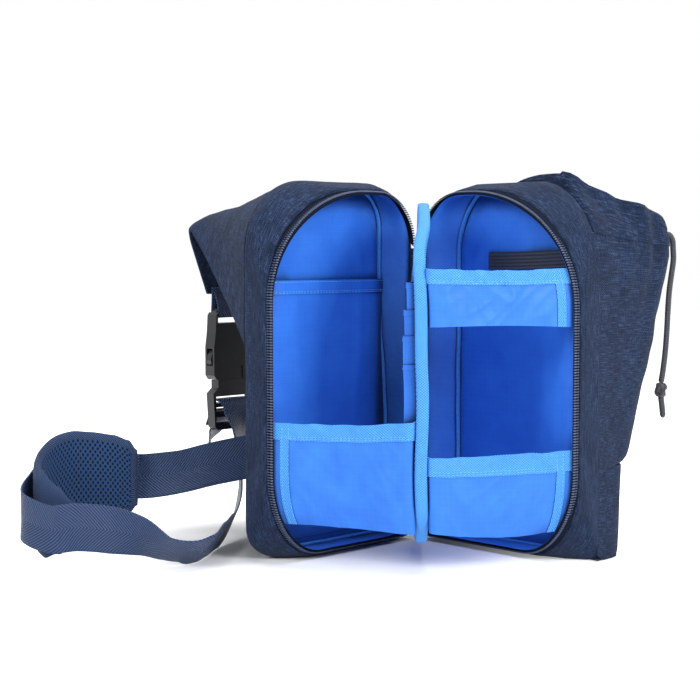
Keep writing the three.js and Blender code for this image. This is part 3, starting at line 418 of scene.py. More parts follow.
def waves(tree, along, step, kind="SINE"):
    """Waves of a step in millimetres, along one way of a pattern."""
    turn = add(tree, "ShaderNodeMath", {"operation": "MULTIPLY"}, i0=along, i1=2 * math.pi / step)
    return add(tree, "ShaderNodeMath", {"operation": kind}, i0=turn.outputs[0]).outputs[0]


# Melange polyester: yarns of mixed navy shades 0.4 mm wide, drawn at 1.1 mm so that they
# show, in a plain weave. Short light and dark streaks run both ways. Dry and matt.
heather, tree = material("melange polyester")
spot = add(tree, "ShaderNodeTexCoord").outputs["UV"]
long_way = add(tree, "ShaderNodeMapping", Vector=spot, Scale=(1 / 0.9, 1 / 7.0, 1))
cross_way = add(tree, "ShaderNodeMapping", Vector=spot, Scale=(1 / 11.0, 1 / 0.8, 1))
warp = add(tree, "ShaderNodeTexNoise", Vector=long_way.outputs[0], Scale=1.0, Detail=2.5,
           Roughness=0.6)
weft = add(tree, "ShaderNodeTexNoise", Vector=cross_way.outputs[0], Scale=1.0, Detail=2.5,
           Roughness=0.6)
cloud = add(tree, "ShaderNodeTexNoise", Vector=spot, Scale=0.03, Detail=3.0)
less = add(tree, "ShaderNodeMath", {"operation": "MULTIPLY"}, i0=warp.outputs["Fac"], i1=0.7)
sum1 = add(tree, "ShaderNodeMath", {"operation": "MULTIPLY_ADD"}, i0=weft.outputs["Fac"], i1=1.3,
           i2=less.outputs[0])
sum2 = add(tree, "ShaderNodeMath", {"operation": "MULTIPLY_ADD"}, i0=cloud.outputs["Fac"], i1=0.35,
           i2=sum1.outputs[0])
ramp = add(tree, "ShaderNodeValToRGB", Fac=add(
    tree, "ShaderNodeMapRange", Value=sum2.outputs[0], From_Min=0.86, From_Max=1.5).outputs[0])
ramp.color_ramp.elements[0].color = linear("#0b1527")
ramp.color_ramp.elements[1].color = linear("#394b6e")
middle = ramp.color_ramp.elements.new(0.5)
middle.color = linear("#19263f")
split = add(tree, "ShaderNodeSeparateXYZ", Vector=spot)
weave = add(tree, "ShaderNodeMath", {"operation": "MULTIPLY"},
            i0=waves(tree, split.outputs["X"], 2.2), i1=waves(tree, split.outputs["Y"], 2.2))
rough = add(tree, "ShaderNodeMath", {"operation": "MULTIPLY_ADD"}, i0=sum1.outputs[0], i1=1.2,
            i2=weave.outputs[0])
bump = add(tree, "ShaderNodeBump", Strength=0.55, Distance=0.00035, Height=rough.outputs[0])
skin = add(tree, "ShaderNodeBsdfPrincipled", Base_Color=ramp.outputs[0], Roughness=0.92,
           Sheen_Weight=0.05, Sheen_Roughness=0.5, Specular_IOR_Level=0.15,
           Normal=bump.outputs[0])
add(tree, "ShaderNodeOutputMaterial", Surface=skin.outputs[0])

# The gusset's section: depth and inset from the folded edge to the seam at the face. On
# the front half it runs out flush, because the pouch carries on from it.
FOLD_LIP = [(13, 2.4), (10.4, 2.1), (8.4, 1.6), (7.9, 0.8), (8.1, 0.0), (9.2, -0.5), (11.3, -0.6),
            (12.3, -0.1), (13.4, -0.3), (16, -0.15), (20, 0.15), (24, 0.2), (28, 0.15), (31, 0.1)]
FOLD = {
    "front": FOLD_LIP + [(33, 0.1), (34.4, 0.05), (35.5, 0.1), (36.2, 0.4), (36.1, 2.0), (34.6, 3.4)],
    "back": FOLD_LIP + [(33, 0.2), (34.4, 0.6), (35.3, 1.0), (35.9, 1.9), (35.6, 2.8), (34.6, 3.4)],
}
CALM = {"front": 32, "back": 38}      # from this depth on the gusset lies still


def merge(piece):
    """Joins the points of a piece that share a place, such as a ring drawn in to a pole."""
    take(piece)
    bpy.ops.object.mode_set(mode="EDIT")
    bpy.ops.mesh.select_all(action="SELECT")
    bpy.ops.mesh.remove_doubles(threshold=0.00001)
    bpy.ops.object.mode_set(mode="OBJECT")


def chart_flat(piece, along):
    """A flat UV map in millimetres: along it and up."""
    chart = piece.data.uv_layers.active.data
    for corner in piece.data.loops:
        p = piece.data.vertices[corner.vertex_index].co
        chart[corner.index].uv = ((p.x if along == "x" else p.y) / MM, p.z / MM)


for side in ("front", "back"):
    place = PLACE[side]
    section = FOLD[side]
    loops = [outline(side, d, inset) for d, inset in section]
    count = len(loops[0]) - 1

    def gusset(u, v):
        i, j = round(u * count), round(v * (len(section) - 1))
        d = section[j][0]
        w, z = loops[j][i]
        soft = clip((d - 9) / 6) * clip((CALM[side] - d) / 6)
        a, b = loops[j][max(0, i - 1)], loops[j][min(count, i + 1)]
        out = Vector((-(b[1] - a[1]), b[0] - a[0])).normalized()
        give = soft * (1.2 * slack(w, d, z, 46, 3) + 0.6 * slack(w, d, z, 17, 5))
        roll = 0.25 * clip((12 - d) / 2) * slack(w, 0, z, 7, 8)
        give = (give + roll) * clip((z + 3) / 12)
        return place(w + out.x * give, d + roll, max(0.3 - FOOT, z + out.y * give))

    piece = cloth(f"{side}_gusset", count, len(section) - 1, gusset, ring=True)
    apply(piece, "SOLIDIFY", thickness=0.9 * MM, offset=-1)
    finish(piece, heather, f"{side}_half", [f"{side}_shell"], angle=70)

    # The face: sewn flat along its edge, and swollen a little by its foam behind the yoke.
    spread = outline(side, FACE, 2.0)

    def face(u, v):
        w, z = drawn_in(*spread[round(u * count)], 1 - v * v * (3 - 2 * v))
        swell = 0.3 * math.sin(math.pi / 2 * min(1, v / 0.5)) * (side == "back")
        return place(w, FACE - 0.5 + swell + 0.2 * min(1, v / 0.1), z)

    piece = cloth(f"{side}_face_panel", count, 14, face, ring=True)
    merge(piece)
    chart_flat(piece, "x" if side == "front" else "y")
    apply(piece, "SOLIDIFY", thickness=0.8 * MM, offset=-1)
    finish(piece, heather, f"{side}_half")


# ------------------------------------------------------------------ zip tapes and coils
# A size 5 nylon coil zip: the coil is sewn to the outer side of a narrow woven tape,
# which is sewn under the gusset's folded edge. It runs from spine to spine.
# Zip tape: woven polyester, ribbed along its length every 0.7 mm, drawn at 1.4 mm. Dull.
tape_cloth, tree = material("woven zip tape")
spot = add(tree, "ShaderNodeTexCoord").outputs["UV"]
split = add(tree, "ShaderNodeSeparateXYZ", Vector=spot)
rib = waves(tree, split.outputs["Y"], 1.4)
fleck = add(tree, "ShaderNodeTexNoise", Vector=spot, Scale=1.1, Detail=2.0)
tone = add(tree, "ShaderNodeMix", {"data_type": "RGBA"}, i0=fleck.outputs["Fac"],
           i6=linear("#090e19"), i7=linear("#141d30"))
bump = add(tree, "ShaderNodeBump", Strength=0.4, Distance=0.0002, Height=rib)
skin = add(tree, "ShaderNodeBsdfPrincipled", Base_Color=tone.outputs[2], Roughness=0.85,
           Specular_IOR_Level=0.1, Normal=bump.outputs[0])
add(tree, "ShaderNodeOutputMaterial", Surface=skin.outputs[0])

# Coil: dyed nylon 6 monofilament, drawn smooth, so each turn has its own soft highlight.
coil_nylon, tree = material("nylon monofilament")
spot = add(tree, "ShaderNodeTexCoord").outputs["Object"]
fleck = add(tree, "ShaderNodeTexNoise", Vector=spot, Scale=160.0, Detail=1.0)
tone = add(tree, "ShaderNodeMix", {"data_type": "RGBA"}, i0=fleck.outputs["Fac"],
           i6=linear("#2e3852"), i7=linear("#505c7a"))
skin = add(tree, "ShaderNodeBsdfPrincipled", Base_Color=tone.outputs[2], Roughness=0.34, IOR=1.53)
add(tree, "ShaderNodeOutputMaterial", Surface=skin.outputs[0])

PITCH = 2.3
TURN_LONG = 6.8
TURN_THICK = 1.3
COIL_AT, COIL_IN = 4.2, 0.55        # where the coil's outline lies: depth and inset
COIL_DEEP = 4.4                     # depth of the turns' middle
# Girth and lift of a turn at stations along it, from its tail to its head.
TURN_FORM = {-3.4: (0.6, -0.35), -2.6: (1.15, 0.0), -1.2: (1.1, 0.15), 0.3: (0.62, -0.3),
             1.5: (1.0, 0.15), 2.7: (1.1, 0.0), 3.4: (0.6, -0.4)}


def spaced(points, pitch, unit=1.0):
    """Stations every pitch along a line: the point before each, and how far on it lies."""
    run = run_along(points, unit)
    k = 0
    for n in range(int(run[-1] / pitch)):
        s = (n + 0.5) * pitch
        while k < len(run) - 2 and run[k + 1] < s:
            k += 1
        yield k, (s - run[k]) / max(1e-6, run[k + 1] - run[k])


def copies(name, one, spots):
    """Copies of one small mesh as a single piece. Each spot takes a point of it to its place."""
    made = bmesh.new()
    for spot in spots:
        start = len(made.verts)
        made.from_mesh(one.data)
        made.verts.ensure_lookup_table()
        for p in made.verts[start:]:
            p.co = spot(p.co)
    mesh = bpy.data.meshes.new(name)
    bmesh.ops.recalc_face_normals(made, faces=made.faces)
    made.to_mesh(mesh)
    made.free()
    piece = bpy.data.objects.new(name, mesh)
    bpy.context.collection.objects.link(piece)
    bpy.data.objects.remove(one)
    return piece


def small_rod(radius, long, cuts):
    """A six-sided rod along X, cut across at some places so that it can be shaped."""
    bpy.ops.object.select_all(action="DESELECT")
    bpy.ops.mesh.primitive_cylinder_add(vertices=6, radius=radius, depth=long,
                                        rotation=(0, math.pi / 2, 0))
    rod = bpy.context.object
    bpy.ops.object.transform_apply(location=False, rotation=True, scale=False)
    bpy.ops.object.mode_set(mode="EDIT")
    for x in cuts:
        bpy.ops.mesh.select_all(action="SELECT")
        bpy.ops.mesh.bisect(plane_co=(x, 0, 0), plane_no=(1, 0, 0))
    bpy.ops.object.mode_set(mode="OBJECT")
    return rod


def coil_turn():
    """One turn of the coil, lying along X: a bar with a head, pinched where it is sewn."""
    bar = small_rod(TURN_THICK / 2, TURN_LONG, list(TURN_FORM)[1:-1])
    for p in bar.data.vertices:
        girth, lift = TURN_FORM[min(TURN_FORM, key=lambda x: abs(x - p.co.x))]
        p.co.y *= girth
        p.co.z = p.co.z * girth + lift
    return bar


for side in ("front", "back"):
    place = PLACE[side]
    rows = [(12.6, 2.9), (10.5, 2.4), (8, 1.8), (6, 1.6), (4, 1.6), (2.8, 1.7), (1.9, 2.0)]
    loops = [outline(side, d, inset)[:ZIP_RUN + 1] for d, inset in rows]

    def tape(u, v):
        i, j = round(u * ZIP_RUN), round(v * (len(rows) - 1))
        return place(loops[j][i][0], rows[j][0], loops[j][i][1])

    piece = cloth(f"{side}_zip_tape_woven", ZIP_RUN, len(rows) - 1, tape)
    apply(piece, "SOLIDIFY", thickness=0.6 * MM, offset=-1)
    finish(piece, tape_cloth, f"{side}_half", [f"{side}_zip_tape"])

    line = [Vector((w, z)) for w, z in outline(side, COIL_AT, COIL_IN)[:ZIP_RUN + 1]]

    def turn_spots():
        for k, f in spaced(line, PITCH):
            mid = line[k].lerp(line[k + 1], f)
            along = (line[k + 1] - line[k]).normalized()
            out = Vector((-along.y, along.x))
            yield lambda p: place(mid.x + along.x * p.y + out.x * p.z, COIL_DEEP + p.x,
                                  mid.y + along.y * p.y + out.y * p.z)

    piece = copies(f"{side}_coil_turns", coil_turn(), turn_spots())
    finish(piece, coil_nylon, f"{side}_half", [f"{side}_zip_coil"], angle=80)

# ------------------------------------------------------------------ spine gusset
# One strip of the same polyester joins the two halves down the hinge line. It folds flat
# when the bag lies open, and its long edges are sewn under the gussets.
SPINE = [(12.8, 1.6), (10, 1.0), (7, 0.6), (4, 0.5), (2, 0.7), (0.9, 1.3)]
spine_plan = [in_front(w, d, 0) for d, w in SPINE] + [in_back(w, d, 0) for d, w in reversed(SPINE)]
foot, head = outline("front", 6)[ZIP_RUN][1], outline("front", 6)[0][1]


def spine(u, v):
    p = spine_plan[round(u * (len(spine_plan) - 1))].copy()
    p.z = (foot + (head - foot) * v + FOOT) * MM
    ease = 0.6 * MM * slack(u * 20, 0, p.z / MM, 40, 9)
    return p + Vector((ease, ease, 0))


piece = cloth("spine_gusset", len(spine_plan) - 1, 40, spine)
apply(piece, "SOLIDIFY", thickness=0.9 * MM, offset=0)
finish(piece, heather, None, ["front_spine_leaf", "back_spine_leaf"])
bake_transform(piece)


# ------------------------------------------------------------------ linings
# Bright blue ripstop over thin foam, sewn in as a bag of its own: a wall panel and a back
# panel, joined by a bound seam in the corner. It is loose enough to wrinkle softly.
# Ripstop: nylon taffeta with a thicker yarn every 5 mm both ways. Slightly shiny, so the
# folds catch light; the plain yarns are too fine to show. Within 45 mm of other cloth its
# colour is painted darker navy, as painted shade in corners and recesses.
ripstop, tree = material("ripstop nylon")
spot = add(tree, "ShaderNodeTexCoord").outputs["UV"]
split = add(tree, "ShaderNodeSeparateXYZ", Vector=spot)
lines = []
for axis in ("X", "Y"):
    turn = add(tree, "ShaderNodeMath", {"operation": "PINGPONG"}, i0=split.outputs[axis], i1=2.5)
    lines.append(add(tree, "ShaderNodeMapRange", Value=turn.outputs[0], From_Min=0.0,
                     From_Max=0.5, To_Min=1.0, To_Max=0.0).outputs[0])
grid = add(tree, "ShaderNodeMath", {"operation": "MAXIMUM"}, i0=lines[0], i1=lines[1])
cloud = add(tree, "ShaderNodeTexNoise", Vector=spot, Scale=0.05, Detail=4.0)
grain = add(tree, "ShaderNodeTexNoise", Vector=spot, Scale=0.8, Detail=2.0)
tone = add(tree, "ShaderNodeMix", {"data_type": "RGBA"}, i0=cloud.outputs["Fac"],
           i6=linear("#2b68cf"), i7=linear("#3a80e2"))
tone2 = add(tree, "ShaderNodeMix", {"data_type": "RGBA"}, i0=add(
    tree, "ShaderNodeMath", {"operation": "MULTIPLY"}, i0=grid.outputs[0], i1=0.05).outputs[0],
    i6=tone.outputs[2], i7=linear("#6fb0ff"))
# Painted shade: the colour turns dark navy where other cloth lies within 45 mm, in corners and recesses.
near = add(tree, "ShaderNodeAmbientOcclusion", {"samples": 6}, Distance=0.045)
painted_shade_mask = add(tree, "ShaderNodeMapRange", Value=near.outputs["AO"], From_Min=0.36, From_Max=0.7)
tone_with_painted_shade = add(tree, "ShaderNodeMix", {"data_type": "RGBA"}, i0=painted_shade_mask.outputs[0],
            i6=linear("#162b50"), i7=tone2.outputs[2])
height = add(tree, "ShaderNodeMath", {"operation": "MULTIPLY_ADD"}, i0=grid.outputs[0], i1=0.3,
             i2=grain.outputs["Fac"])
bump = add(tree, "ShaderNodeBump", Strength=0.2, Distance=0.00025, Height=height.outputs[0])
skin = add(tree, "ShaderNodeBsdfPrincipled", Base_Color=tone_with_painted_shade.outputs[2], Roughness=0.5,
           Sheen_Weight=0.02, Specular_IOR_Level=0.2, Normal=bump.outputs[0])
add(tree, "ShaderNodeOutputMaterial", Surface=skin.outputs[0])


def step_up(t):
    """A soft step from 0 to 1."""
    t = clip(t)
    return t * t * (3 - 2 * t)


def crease(a, b, size, seed):
    """Sharp soft-goods creases, from 0 to 1 along their ridges."""
    n = noise.noise(Vector((a / size + seed * 5.7, b / size - seed * 2.9, seed * 1.3)))
    return (1 - min(1, abs(n) / 0.45)) ** 2


def loosen(side, w, d, z):
    """The lining is cut small, so its corner seams stand off the shell."""
    far = 19 if side == "front" else 3 + 10 * step_up((z - 60) / 180)
    free = 13 if side == "front" else 0
    return (w + far * (d / 30) ** 1.4 * (1 - step_up((w - 6) / 60))
            - free * step_up((d - 10) / 21) * step_up((w - 112) / 50))


LINED = 30.4            # depth of the lining's back
BACK_RIM = (30, 5.6)    # depth and inset of the outline that the back panel fills
LEAN = 13               # how far the front half's back comes out towards the rim
WALL_ROWS = [(2.9, 2.6), (3.2, 3.1), (5, 3.4), (7.4, 3.9), (9.5, 4.6), (13, 4.8), (17, 4.9),
             (21, 5.1), (25, 5.3), (28, 5.6), (29.6, 6.3), (LINED, 7.4)]
for side in ("front", "back"):
    place = PLACE[side]
    loops = [outline(side, d, inset) for d, inset in WALL_ROWS]
    count = len(loops[0]) - 1

    def wall(u, v):
        i, j = round(u * count), round(v * (len(WALL_ROWS) - 1))
        d = WALL_ROWS[j][0]
        w, z = loops[j][i]
        soft = clip((d - 7.5) / 6) * clip((LINED - d) / 4)
        a, b = loops[j][max(0, i - 1)], loops[j][min(count, i + 1)]
        inward = Vector((b[1] - a[1], -(b[0] - a[0]))).normalized()
        give = soft * max(-0.4, 2.0 * slack(w, d, z, 30, 11) + 0.9 * crease(i * 9, d, 26, 4))
        # Along the hinge side the zip tape shows, so the lining starts deeper there.
        deep = d + 0.85 * max(0, 7.2 - d) * (1 - step_up((w - 12) / 24))
        return place(loosen(side, w + inward.x * give, d, z), deep, z + inward.y * give)

    piece = cloth(f"{side}_lining_wall", count, len(WALL_ROWS) - 1, wall, ring=True)
    apply(piece, "SOLIDIFY", thickness=0.5 * MM, offset=-1)
    finish(piece, ripstop, f"{side}_half", [f"{side}_lining"])

    spread = outline(side, *BACK_RIM)

    def panel(u, v):
        w, z = drawn_in(*spread[round(u * count)], 1 - v)
        soft = min(1, v / 0.12)
        give = soft * max(-0.2, 1.6 * slack(w, 3, z, 46, 2) + 0.8 * crease(w + 0.4 * z, z * 0.5, 40, 2))
        give += 2.4 * soft * crease(w * 0.8 - z * 0.5, z * 0.2, 34, 5) * step_up((z - 222) / 40)
        # On the front half the back leans out towards the rim, in upright folds.
        lean = 0
        if side == "front":
            lean = LEAN * step_up((w - 92) / 62) * step_up((234 - z) / 24) * step_up((z - 45) / 60)
        give += 0.16 * lean * soft * crease(w, z * 0.12, 17, 9)
        return place(loosen(side, w, BACK_RIM[0] - lean, z), LINED + 0.1 - give - lean, z)

    piece = cloth(f"{side}_lining_back", count, 26, panel, ring=True)
    merge(piece)
    chart_flat(piece, "x" if side == "front" else "y")
    apply(piece, "SOLIDIFY", thickness=0.4 * MM, offset=1)
    finish(piece, ripstop, f"{side}_half")


# ------------------------------------------------------------------ bound seams and stitches
# Sky-blue grosgrain tape, folded over raw edges and lockstitched. Inside each half a
# thinner tape covers the corner seam between the lining's wall and back.
# Grosgrain: polyester yarns across the tape in ribs 0.6 mm apart, crossed by the warp. They
# make a mesh of small dots, drawn 2.1 by 2.5 mm apart so that it shows. Paler than ripstop.
grosgrain, tree = material("grosgrain tape")
spot = add(tree, "ShaderNodeTexCoord").outputs["UV"]
split = add(tree, "ShaderNodeSeparateXYZ", Vector=spot)
dots = add(tree, "ShaderNodeMath", {"operation": "MULTIPLY"},
           i0=waves(tree, split.outputs["X"], 2.1), i1=waves(tree, split.outputs["Y"], 2.5))
level = add(tree, "ShaderNodeMapRange", Value=dots.outputs[0], From_Min=-1.0, From_Max=1.0)
grain = add(tree, "ShaderNodeTexNoise", Vector=spot, Scale=0.25, Detail=4.0)
tone = add(tree, "ShaderNodeMix", {"data_type": "RGBA"}, i0=level.outputs[0],
           i6=linear("#0f55bd"), i7=linear("#62c0fb"))
tone2 = add(tree, "ShaderNodeMix", {"data_type": "RGBA"}, i0=add(
    tree, "ShaderNodeMath", {"operation": "MULTIPLY"}, i0=grain.outputs["Fac"], i1=0.55).outputs[0],
    i6=tone.outputs[2], i7=linear("#2273d2"))
bump = add(tree, "ShaderNodeBump", Strength=0.6, Distance=0.0003, Height=dots.outputs[0])
skin = add(tree, "ShaderNodeBsdfPrincipled", Base_Color=tone2.outputs[2], Roughness=0.78,
           Sheen_Weight=0.05, Normal=bump.outputs[0])
add(tree, "ShaderNodeOutputMaterial", Surface=skin.outputs[0])

# Sewing thread: bonded polyester, 0.3 mm thick, drawn at 0.54 mm so that it shows.
thread_blue, tree = material("bonded thread sky blue")
spot = add(tree, "ShaderNodeTexCoord").outputs["Object"]
grain = add(tree, "ShaderNodeTexNoise", Vector=spot, Scale=900.0)
tone = add(tree, "ShaderNodeMix", {"data_type": "RGBA"}, i0=grain.outputs["Fac"],
           i6=linear("#4aa2ee"), i7=linear("#78c4fb"))
skin = add(tree, "ShaderNodeBsdfPrincipled", Base_Color=tone.outputs[2], Roughness=0.5)
add(tree, "ShaderNodeOutputMaterial", Surface=skin.outputs[0])

STITCH = 2.6    # length of one stitch, and the gap to the next
GAP = 1.1
THREAD = 0.54


def stitches(name, lines, finish_of, body):
    """Lockstitches along lines of (point, normal) pairs, as one piece of small flat lozenges."""
    one = small_rod(THREAD / 2, STITCH, [0])
    for p in one.data.vertices:
        p.co.z = p.co.z * 0.7 + (0.12 if abs(p.co.x) < 0.1 else -0.22)
        if abs(p.co.x) > 0.1:
            p.co.y *= 0.6

    def stitch_spots():
        for line in lines:
            for k, f in spaced([p for p, _ in line], STITCH + GAP, MM):
                (a, up_a), (b, up_b) = line[k], line[k + 1]
                mid, along = a.lerp(b, f), (b - a).normalized()
                up = up_a.lerp(up_b, f).normalized()
                over = up.cross(along).normalized()
                yield lambda p: mid + (along * p.x + over * p.y + up * (p.z + 0.15)) * MM

    return finish(copies(name, one, stitch_spots()), finish_of, body, angle=80)


# Seam tape: the same polyester woven thin and dyed a shade deeper, so it stays quiet.
seam_cloth, tree = material("thin polyester seam tape")
spot = add(tree, "ShaderNodeTexCoord").outputs["UV"]
fleck = add(tree, "ShaderNodeTexNoise", Vector=spot, Scale=0.35, Detail=3.0)
tone = add(tree, "ShaderNodeMix", {"data_type": "RGBA"}, i0=fleck.outputs["Fac"],
           i6=linear("#2566c4"), i7=linear("#4a9ce6"))
bump = add(tree, "ShaderNodeBump", Strength=0.4, Distance=0.0004, Height=fleck.outputs["Fac"])
skin = add(tree, "ShaderNodeBsdfPrincipled", Base_Color=tone.outputs[2], Roughness=0.8,
           Normal=bump.outputs[0])
add(tree, "ShaderNodeOutputMaterial", Surface=skin.outputs[0])

# The tape's section round the seam: depth and inset.
BEAD_ROWS = [(30.2, 5.8), (28.4, 5.6), (27.0, 6.2), (26.8, 7.0), (27.6, 7.9), (29.2, 8.2), (30.2, 7.6)]
for side in ("front", "back"):
    place = PLACE[side]
    loops = [outline(side, min(d, 30), inset) for d, inset in BEAD_ROWS]
    count = len(loops[0]) - 1

    def bead(u, v):
        i, j = round(u * count), round(v * (len(BEAD_ROWS) - 1))
        w, z = loops[j][i]
        sway = 0.6 * slack(w, 0, z, 14, 6) + 1.0 * slack(w, 9, z, 45, 2)
        return place(loosen(side, w, BACK_RIM[0], z) + 0.8 * slack(w, 4, z, 30, 7),
                     min(30.0, BEAD_ROWS[j][0] + sway - 0.6), z)

    piece = cloth(f"{side}_seam_tape", count, len(BEAD_ROWS) - 1, bead, ring=True)
    apply(piece, "SOLIDIFY", thickness=0.5 * MM, offset=0)
    finish(piece, seam_cloth, f"{side}_half", [f"{side}_seam_binding"])


# ------------------------------------------------------------------ slip pocket
# A full-width pocket in the back half: one sheet of ripstop, gathered a little at both
# sides so that it stands off the lining, with its mouth folded to a hem 12 mm deep.
POCKET_TOP = 234
POCKET_LOW = 9.5
MOUTH_HEM = 12
BOX_IN = 9.0        # inset of the pocket's edges from the half's outline
FACE_IN = 30.7      # depth of the lining's back, where things are sewn to it


def span(side, d, inset, z):
    """Least and greatest w of the outline at a height."""
    pts = outline(side, d, inset)
    hits = [a[0] + (b[0] - a[0]) * (z - a[1]) / (b[1] - a[1]) for a, b in zip(pts, pts[1:])
            if (a[1] - z) * (b[1] - z) <= 0 and a[1] != b[1]]
    return min(hits), max(hits)


def pocket_sheet(z0, z1, proud):
    def lay(u, v):
        z = z0 + (z1 - z0) * v
        a, b = span("back", FACE_IN, BOX_IN, z)
        rise = (z - POCKET_LOW) / (POCKET_TOP - POCKET_LOW)
        off = 5.4 * step_up(min(u, 1 - u) / 0.13) * step_up(rise / 0.14)
        w = a + (b - a) * u
        off += step_up(min(u, 1 - u) / 0.1) * step_up(rise / 0.2) * (
            1.4 * slack(w, 0, z * 0.5, 30, 21) + 1.3 * crease(w + 0.15 * z, z * 0.2, 30, 6))
        return in_back(w, min(30.4, FACE_IN - 0.9 - off - proud), z)
    return lay


slip = cloth("slip_pocket_sheet", 44, 60, pocket_sheet(POCKET_LOW, POCKET_TOP - 2, 0))
apply(slip, "SOLIDIFY", thickness=0.5 * MM, offset=0)
finish(slip, ripstop, "back_half", ["back_slip_pocket"])
mouth = pocket_sheet(POCKET_TOP - MOUTH_HEM, POCKET_TOP, 0.2)
hem = cloth("slip_pocket_hem", 44, 6, mouth)
apply(hem, "SOLIDIFY", thickness=1.7 * MM, offset=0)
finish(hem, ripstop, "back_half", ["back_pocket_binding"])
face_way = Vector((1, 0, 0))
rows = [[(mouth(i / 40, v) + face_way * 0.85 * MM, face_way) for i in range(41)]
        for v in (0.08, 0.2, 0.88)]
sewn = stitches("slip_pocket_stitches", rows, thread_blue, "back_half")


# ------------------------------------------------------------------ elastic strap
# Black ribbed elastic, 15 mm wide, tacked at both ends inside the front half for filters.
# Elastic: covered rubber cords lie side by side every 1.5 mm, drawn at 3 mm; matt black.
elastic_knit, tree = material("ribbed elastic")
spot = add(tree, "ShaderNodeTexCoord").outputs["UV"]
split = add(tree, "ShaderNodeSeparateXYZ", Vector=spot)
rib = waves(tree, split.outputs["Y"], 3.0)
level = add(tree, "ShaderNodeMapRange", Value=rib, From_Min=-1.0, From_Max=1.0)
tone = add(tree, "ShaderNodeMix", {"data_type": "RGBA"}, i0=level.outputs[0],
           i6=linear("#10151f"), i7=linear("#333c49"))
bump = add(tree, "ShaderNodeBump", Strength=0.7, Distance=0.0006, Height=rib)
skin = add(tree, "ShaderNodeBsdfPrincipled", Base_Color=tone.outputs[2], Roughness=0.8,
           Sheen_Weight=0.15, Normal=bump.outputs[0])
add(tree, "ShaderNodeOutputMaterial", Surface=skin.outputs[0])


ELASTIC_W, ELASTIC_Z = (60, 94), (243, 15)      # where it starts, and how far it runs


def elastic(u, v):
    off = 5.0 * math.sin(math.pi * u) ** 0.5 if 0 < u < 1 else 0.0
    sag = 0.8 * math.sin(math.pi * u)
    return in_front(ELASTIC_W[0] + ELASTIC_W[1] * u, FACE_IN - 1.0 - off,
                    ELASTIC_Z[0] + ELASTIC_Z[1] * v - sag + 3 * u)


piece = cloth("elastic_strap_knit", 40, 8, elastic)
apply(piece, "SOLIDIFY", thickness=1.1 * MM, offset=0)
finish(piece, elastic_knit, "front_half", ["front_elastic_strap"])


# ------------------------------------------------------------------ divider leaf
# A foam board 7 mm thick in ripstop, hung on a fabric hinge down the spine. Its edge is
# bound with grosgrain, and four card pockets step down its face towards the back half.
LEAF_TURN = 47      # degrees from the back half's way to the divider, as it stands open


def in_leaf(w, y, z):
    """A place on the divider: along it from the hinge, through it, up. Its top leans over."""
    a = math.radians(-LEAF_TURN)
    y += 5 * step_up((z - 225) / 60) * step_up((152 - w) / 34)
    y += 3 * (w / 162) * step_up((250 - z) / 60) + 0.7 * math.sin(z / 17) * step_up((w - 100) / 60)
    return Vector((hinge.x + (w * math.cos(a) - y * math.sin(a)) * MM,
                   hinge.y + (w * math.sin(a) + y * math.cos(a)) * MM, (z + FOOT) * MM))


LEAF = {"w0": 9, "w1": 162, "z0": 19, "z1": 300}
# Width and height of each rounded corner, and the meshes along it and the side after it.
LEAF_CORNERS = [(46, 46, 8, 4), (108, 84, 16, 12), (34, 44, 8, 10), (10, 10, 4, 16)]
leaf_way = (in_leaf(0, 1, 0) - in_leaf(0, 0, 0)).normalized()


def leaf_outline(inset):
    """The board's outline, drawn in by inset, as a closed list of (w, z)."""
    a, b, lo, hi = LEAF["w0"] + inset, LEAF["w1"] - inset, LEAF["z0"] + inset, LEAF["z1"] - inset
    arcs = []
    for n, (rw, rz, count, run) in enumerate(LEAF_CORNERS):
        rw, rz = max(1.5, rw - inset), max(1.5, rz - inset)
        cw = a + rw if n in (0, 3) else b - rw
        cz = hi - rz if n < 2 else lo + rz
        arcs.append((cw, cz, rw, rz, 180 - 90 * n, count, run))
    return joined(arcs)


board_out = leaf_outline(2)
# The board's section: its side, -1 or 1, and how far out from the middle.
BOARD_HALF = [(1, 0), (1, 0.2), (1, 0.4), (1, 0.6), (1, 0.8), (1, 0.92), (1, 0.98), (0.6, 1)]
BOARD_ROWS = [(-sgn, f) for sgn, f in BOARD_HALF] + BOARD_HALF[::-1]


def board(u, v):
    i, j = round(u * (len(board_out) - 1)), round(v * (len(BOARD_ROWS) - 1))
    sgn, f = BOARD_ROWS[j]
    w, z = drawn_in(*board_out[i], f)
    swell = 0.5 * slack(w, sgn * 9, z, 40, 14) * (1 - f)
    return in_leaf(w, sgn * (3.3 + swell), z)


piece = cloth("divider_board_cloth", len(board_out) - 1, len(BOARD_ROWS) - 1, board, ring=True)
merge(piece)
chart = piece.data.uv_layers.active.data
for corner in piece.data.loops:
    p = piece.data.vertices[corner.vertex_index].co
    chart[corner.index].uv = (math.hypot(p.x - hinge.x, p.y - hinge.y) / MM, p.z / MM)
finish(piece, ripstop, "divider_leaf", ["divider_board"])

# The binding's section: inset from the edge, and how far it stands to one side, then the other.
TAPE_HALF = [(7.5, 4.1), (5.5, 4.4), (3, 4.7), (1.0, 4.5), (0.1, 3.4), (-0.2, 1.5)]
TAPE_ROWS = TAPE_HALF + [(inset, -y) for inset, y in TAPE_HALF[::-1]]
edge_loops = [leaf_outline(inset) for inset, _ in TAPE_ROWS]


def edge_tape(u, v):
    i, j = round(u * (len(board_out) - 1)), round(v * (len(TAPE_ROWS) - 1))
    w, z = edge_loops[j][i]
    y = TAPE_ROWS[j][1] + 0.25 * slack(w, TAPE_ROWS[j][1], z, 9, 3)
    return in_leaf(w, y, z)


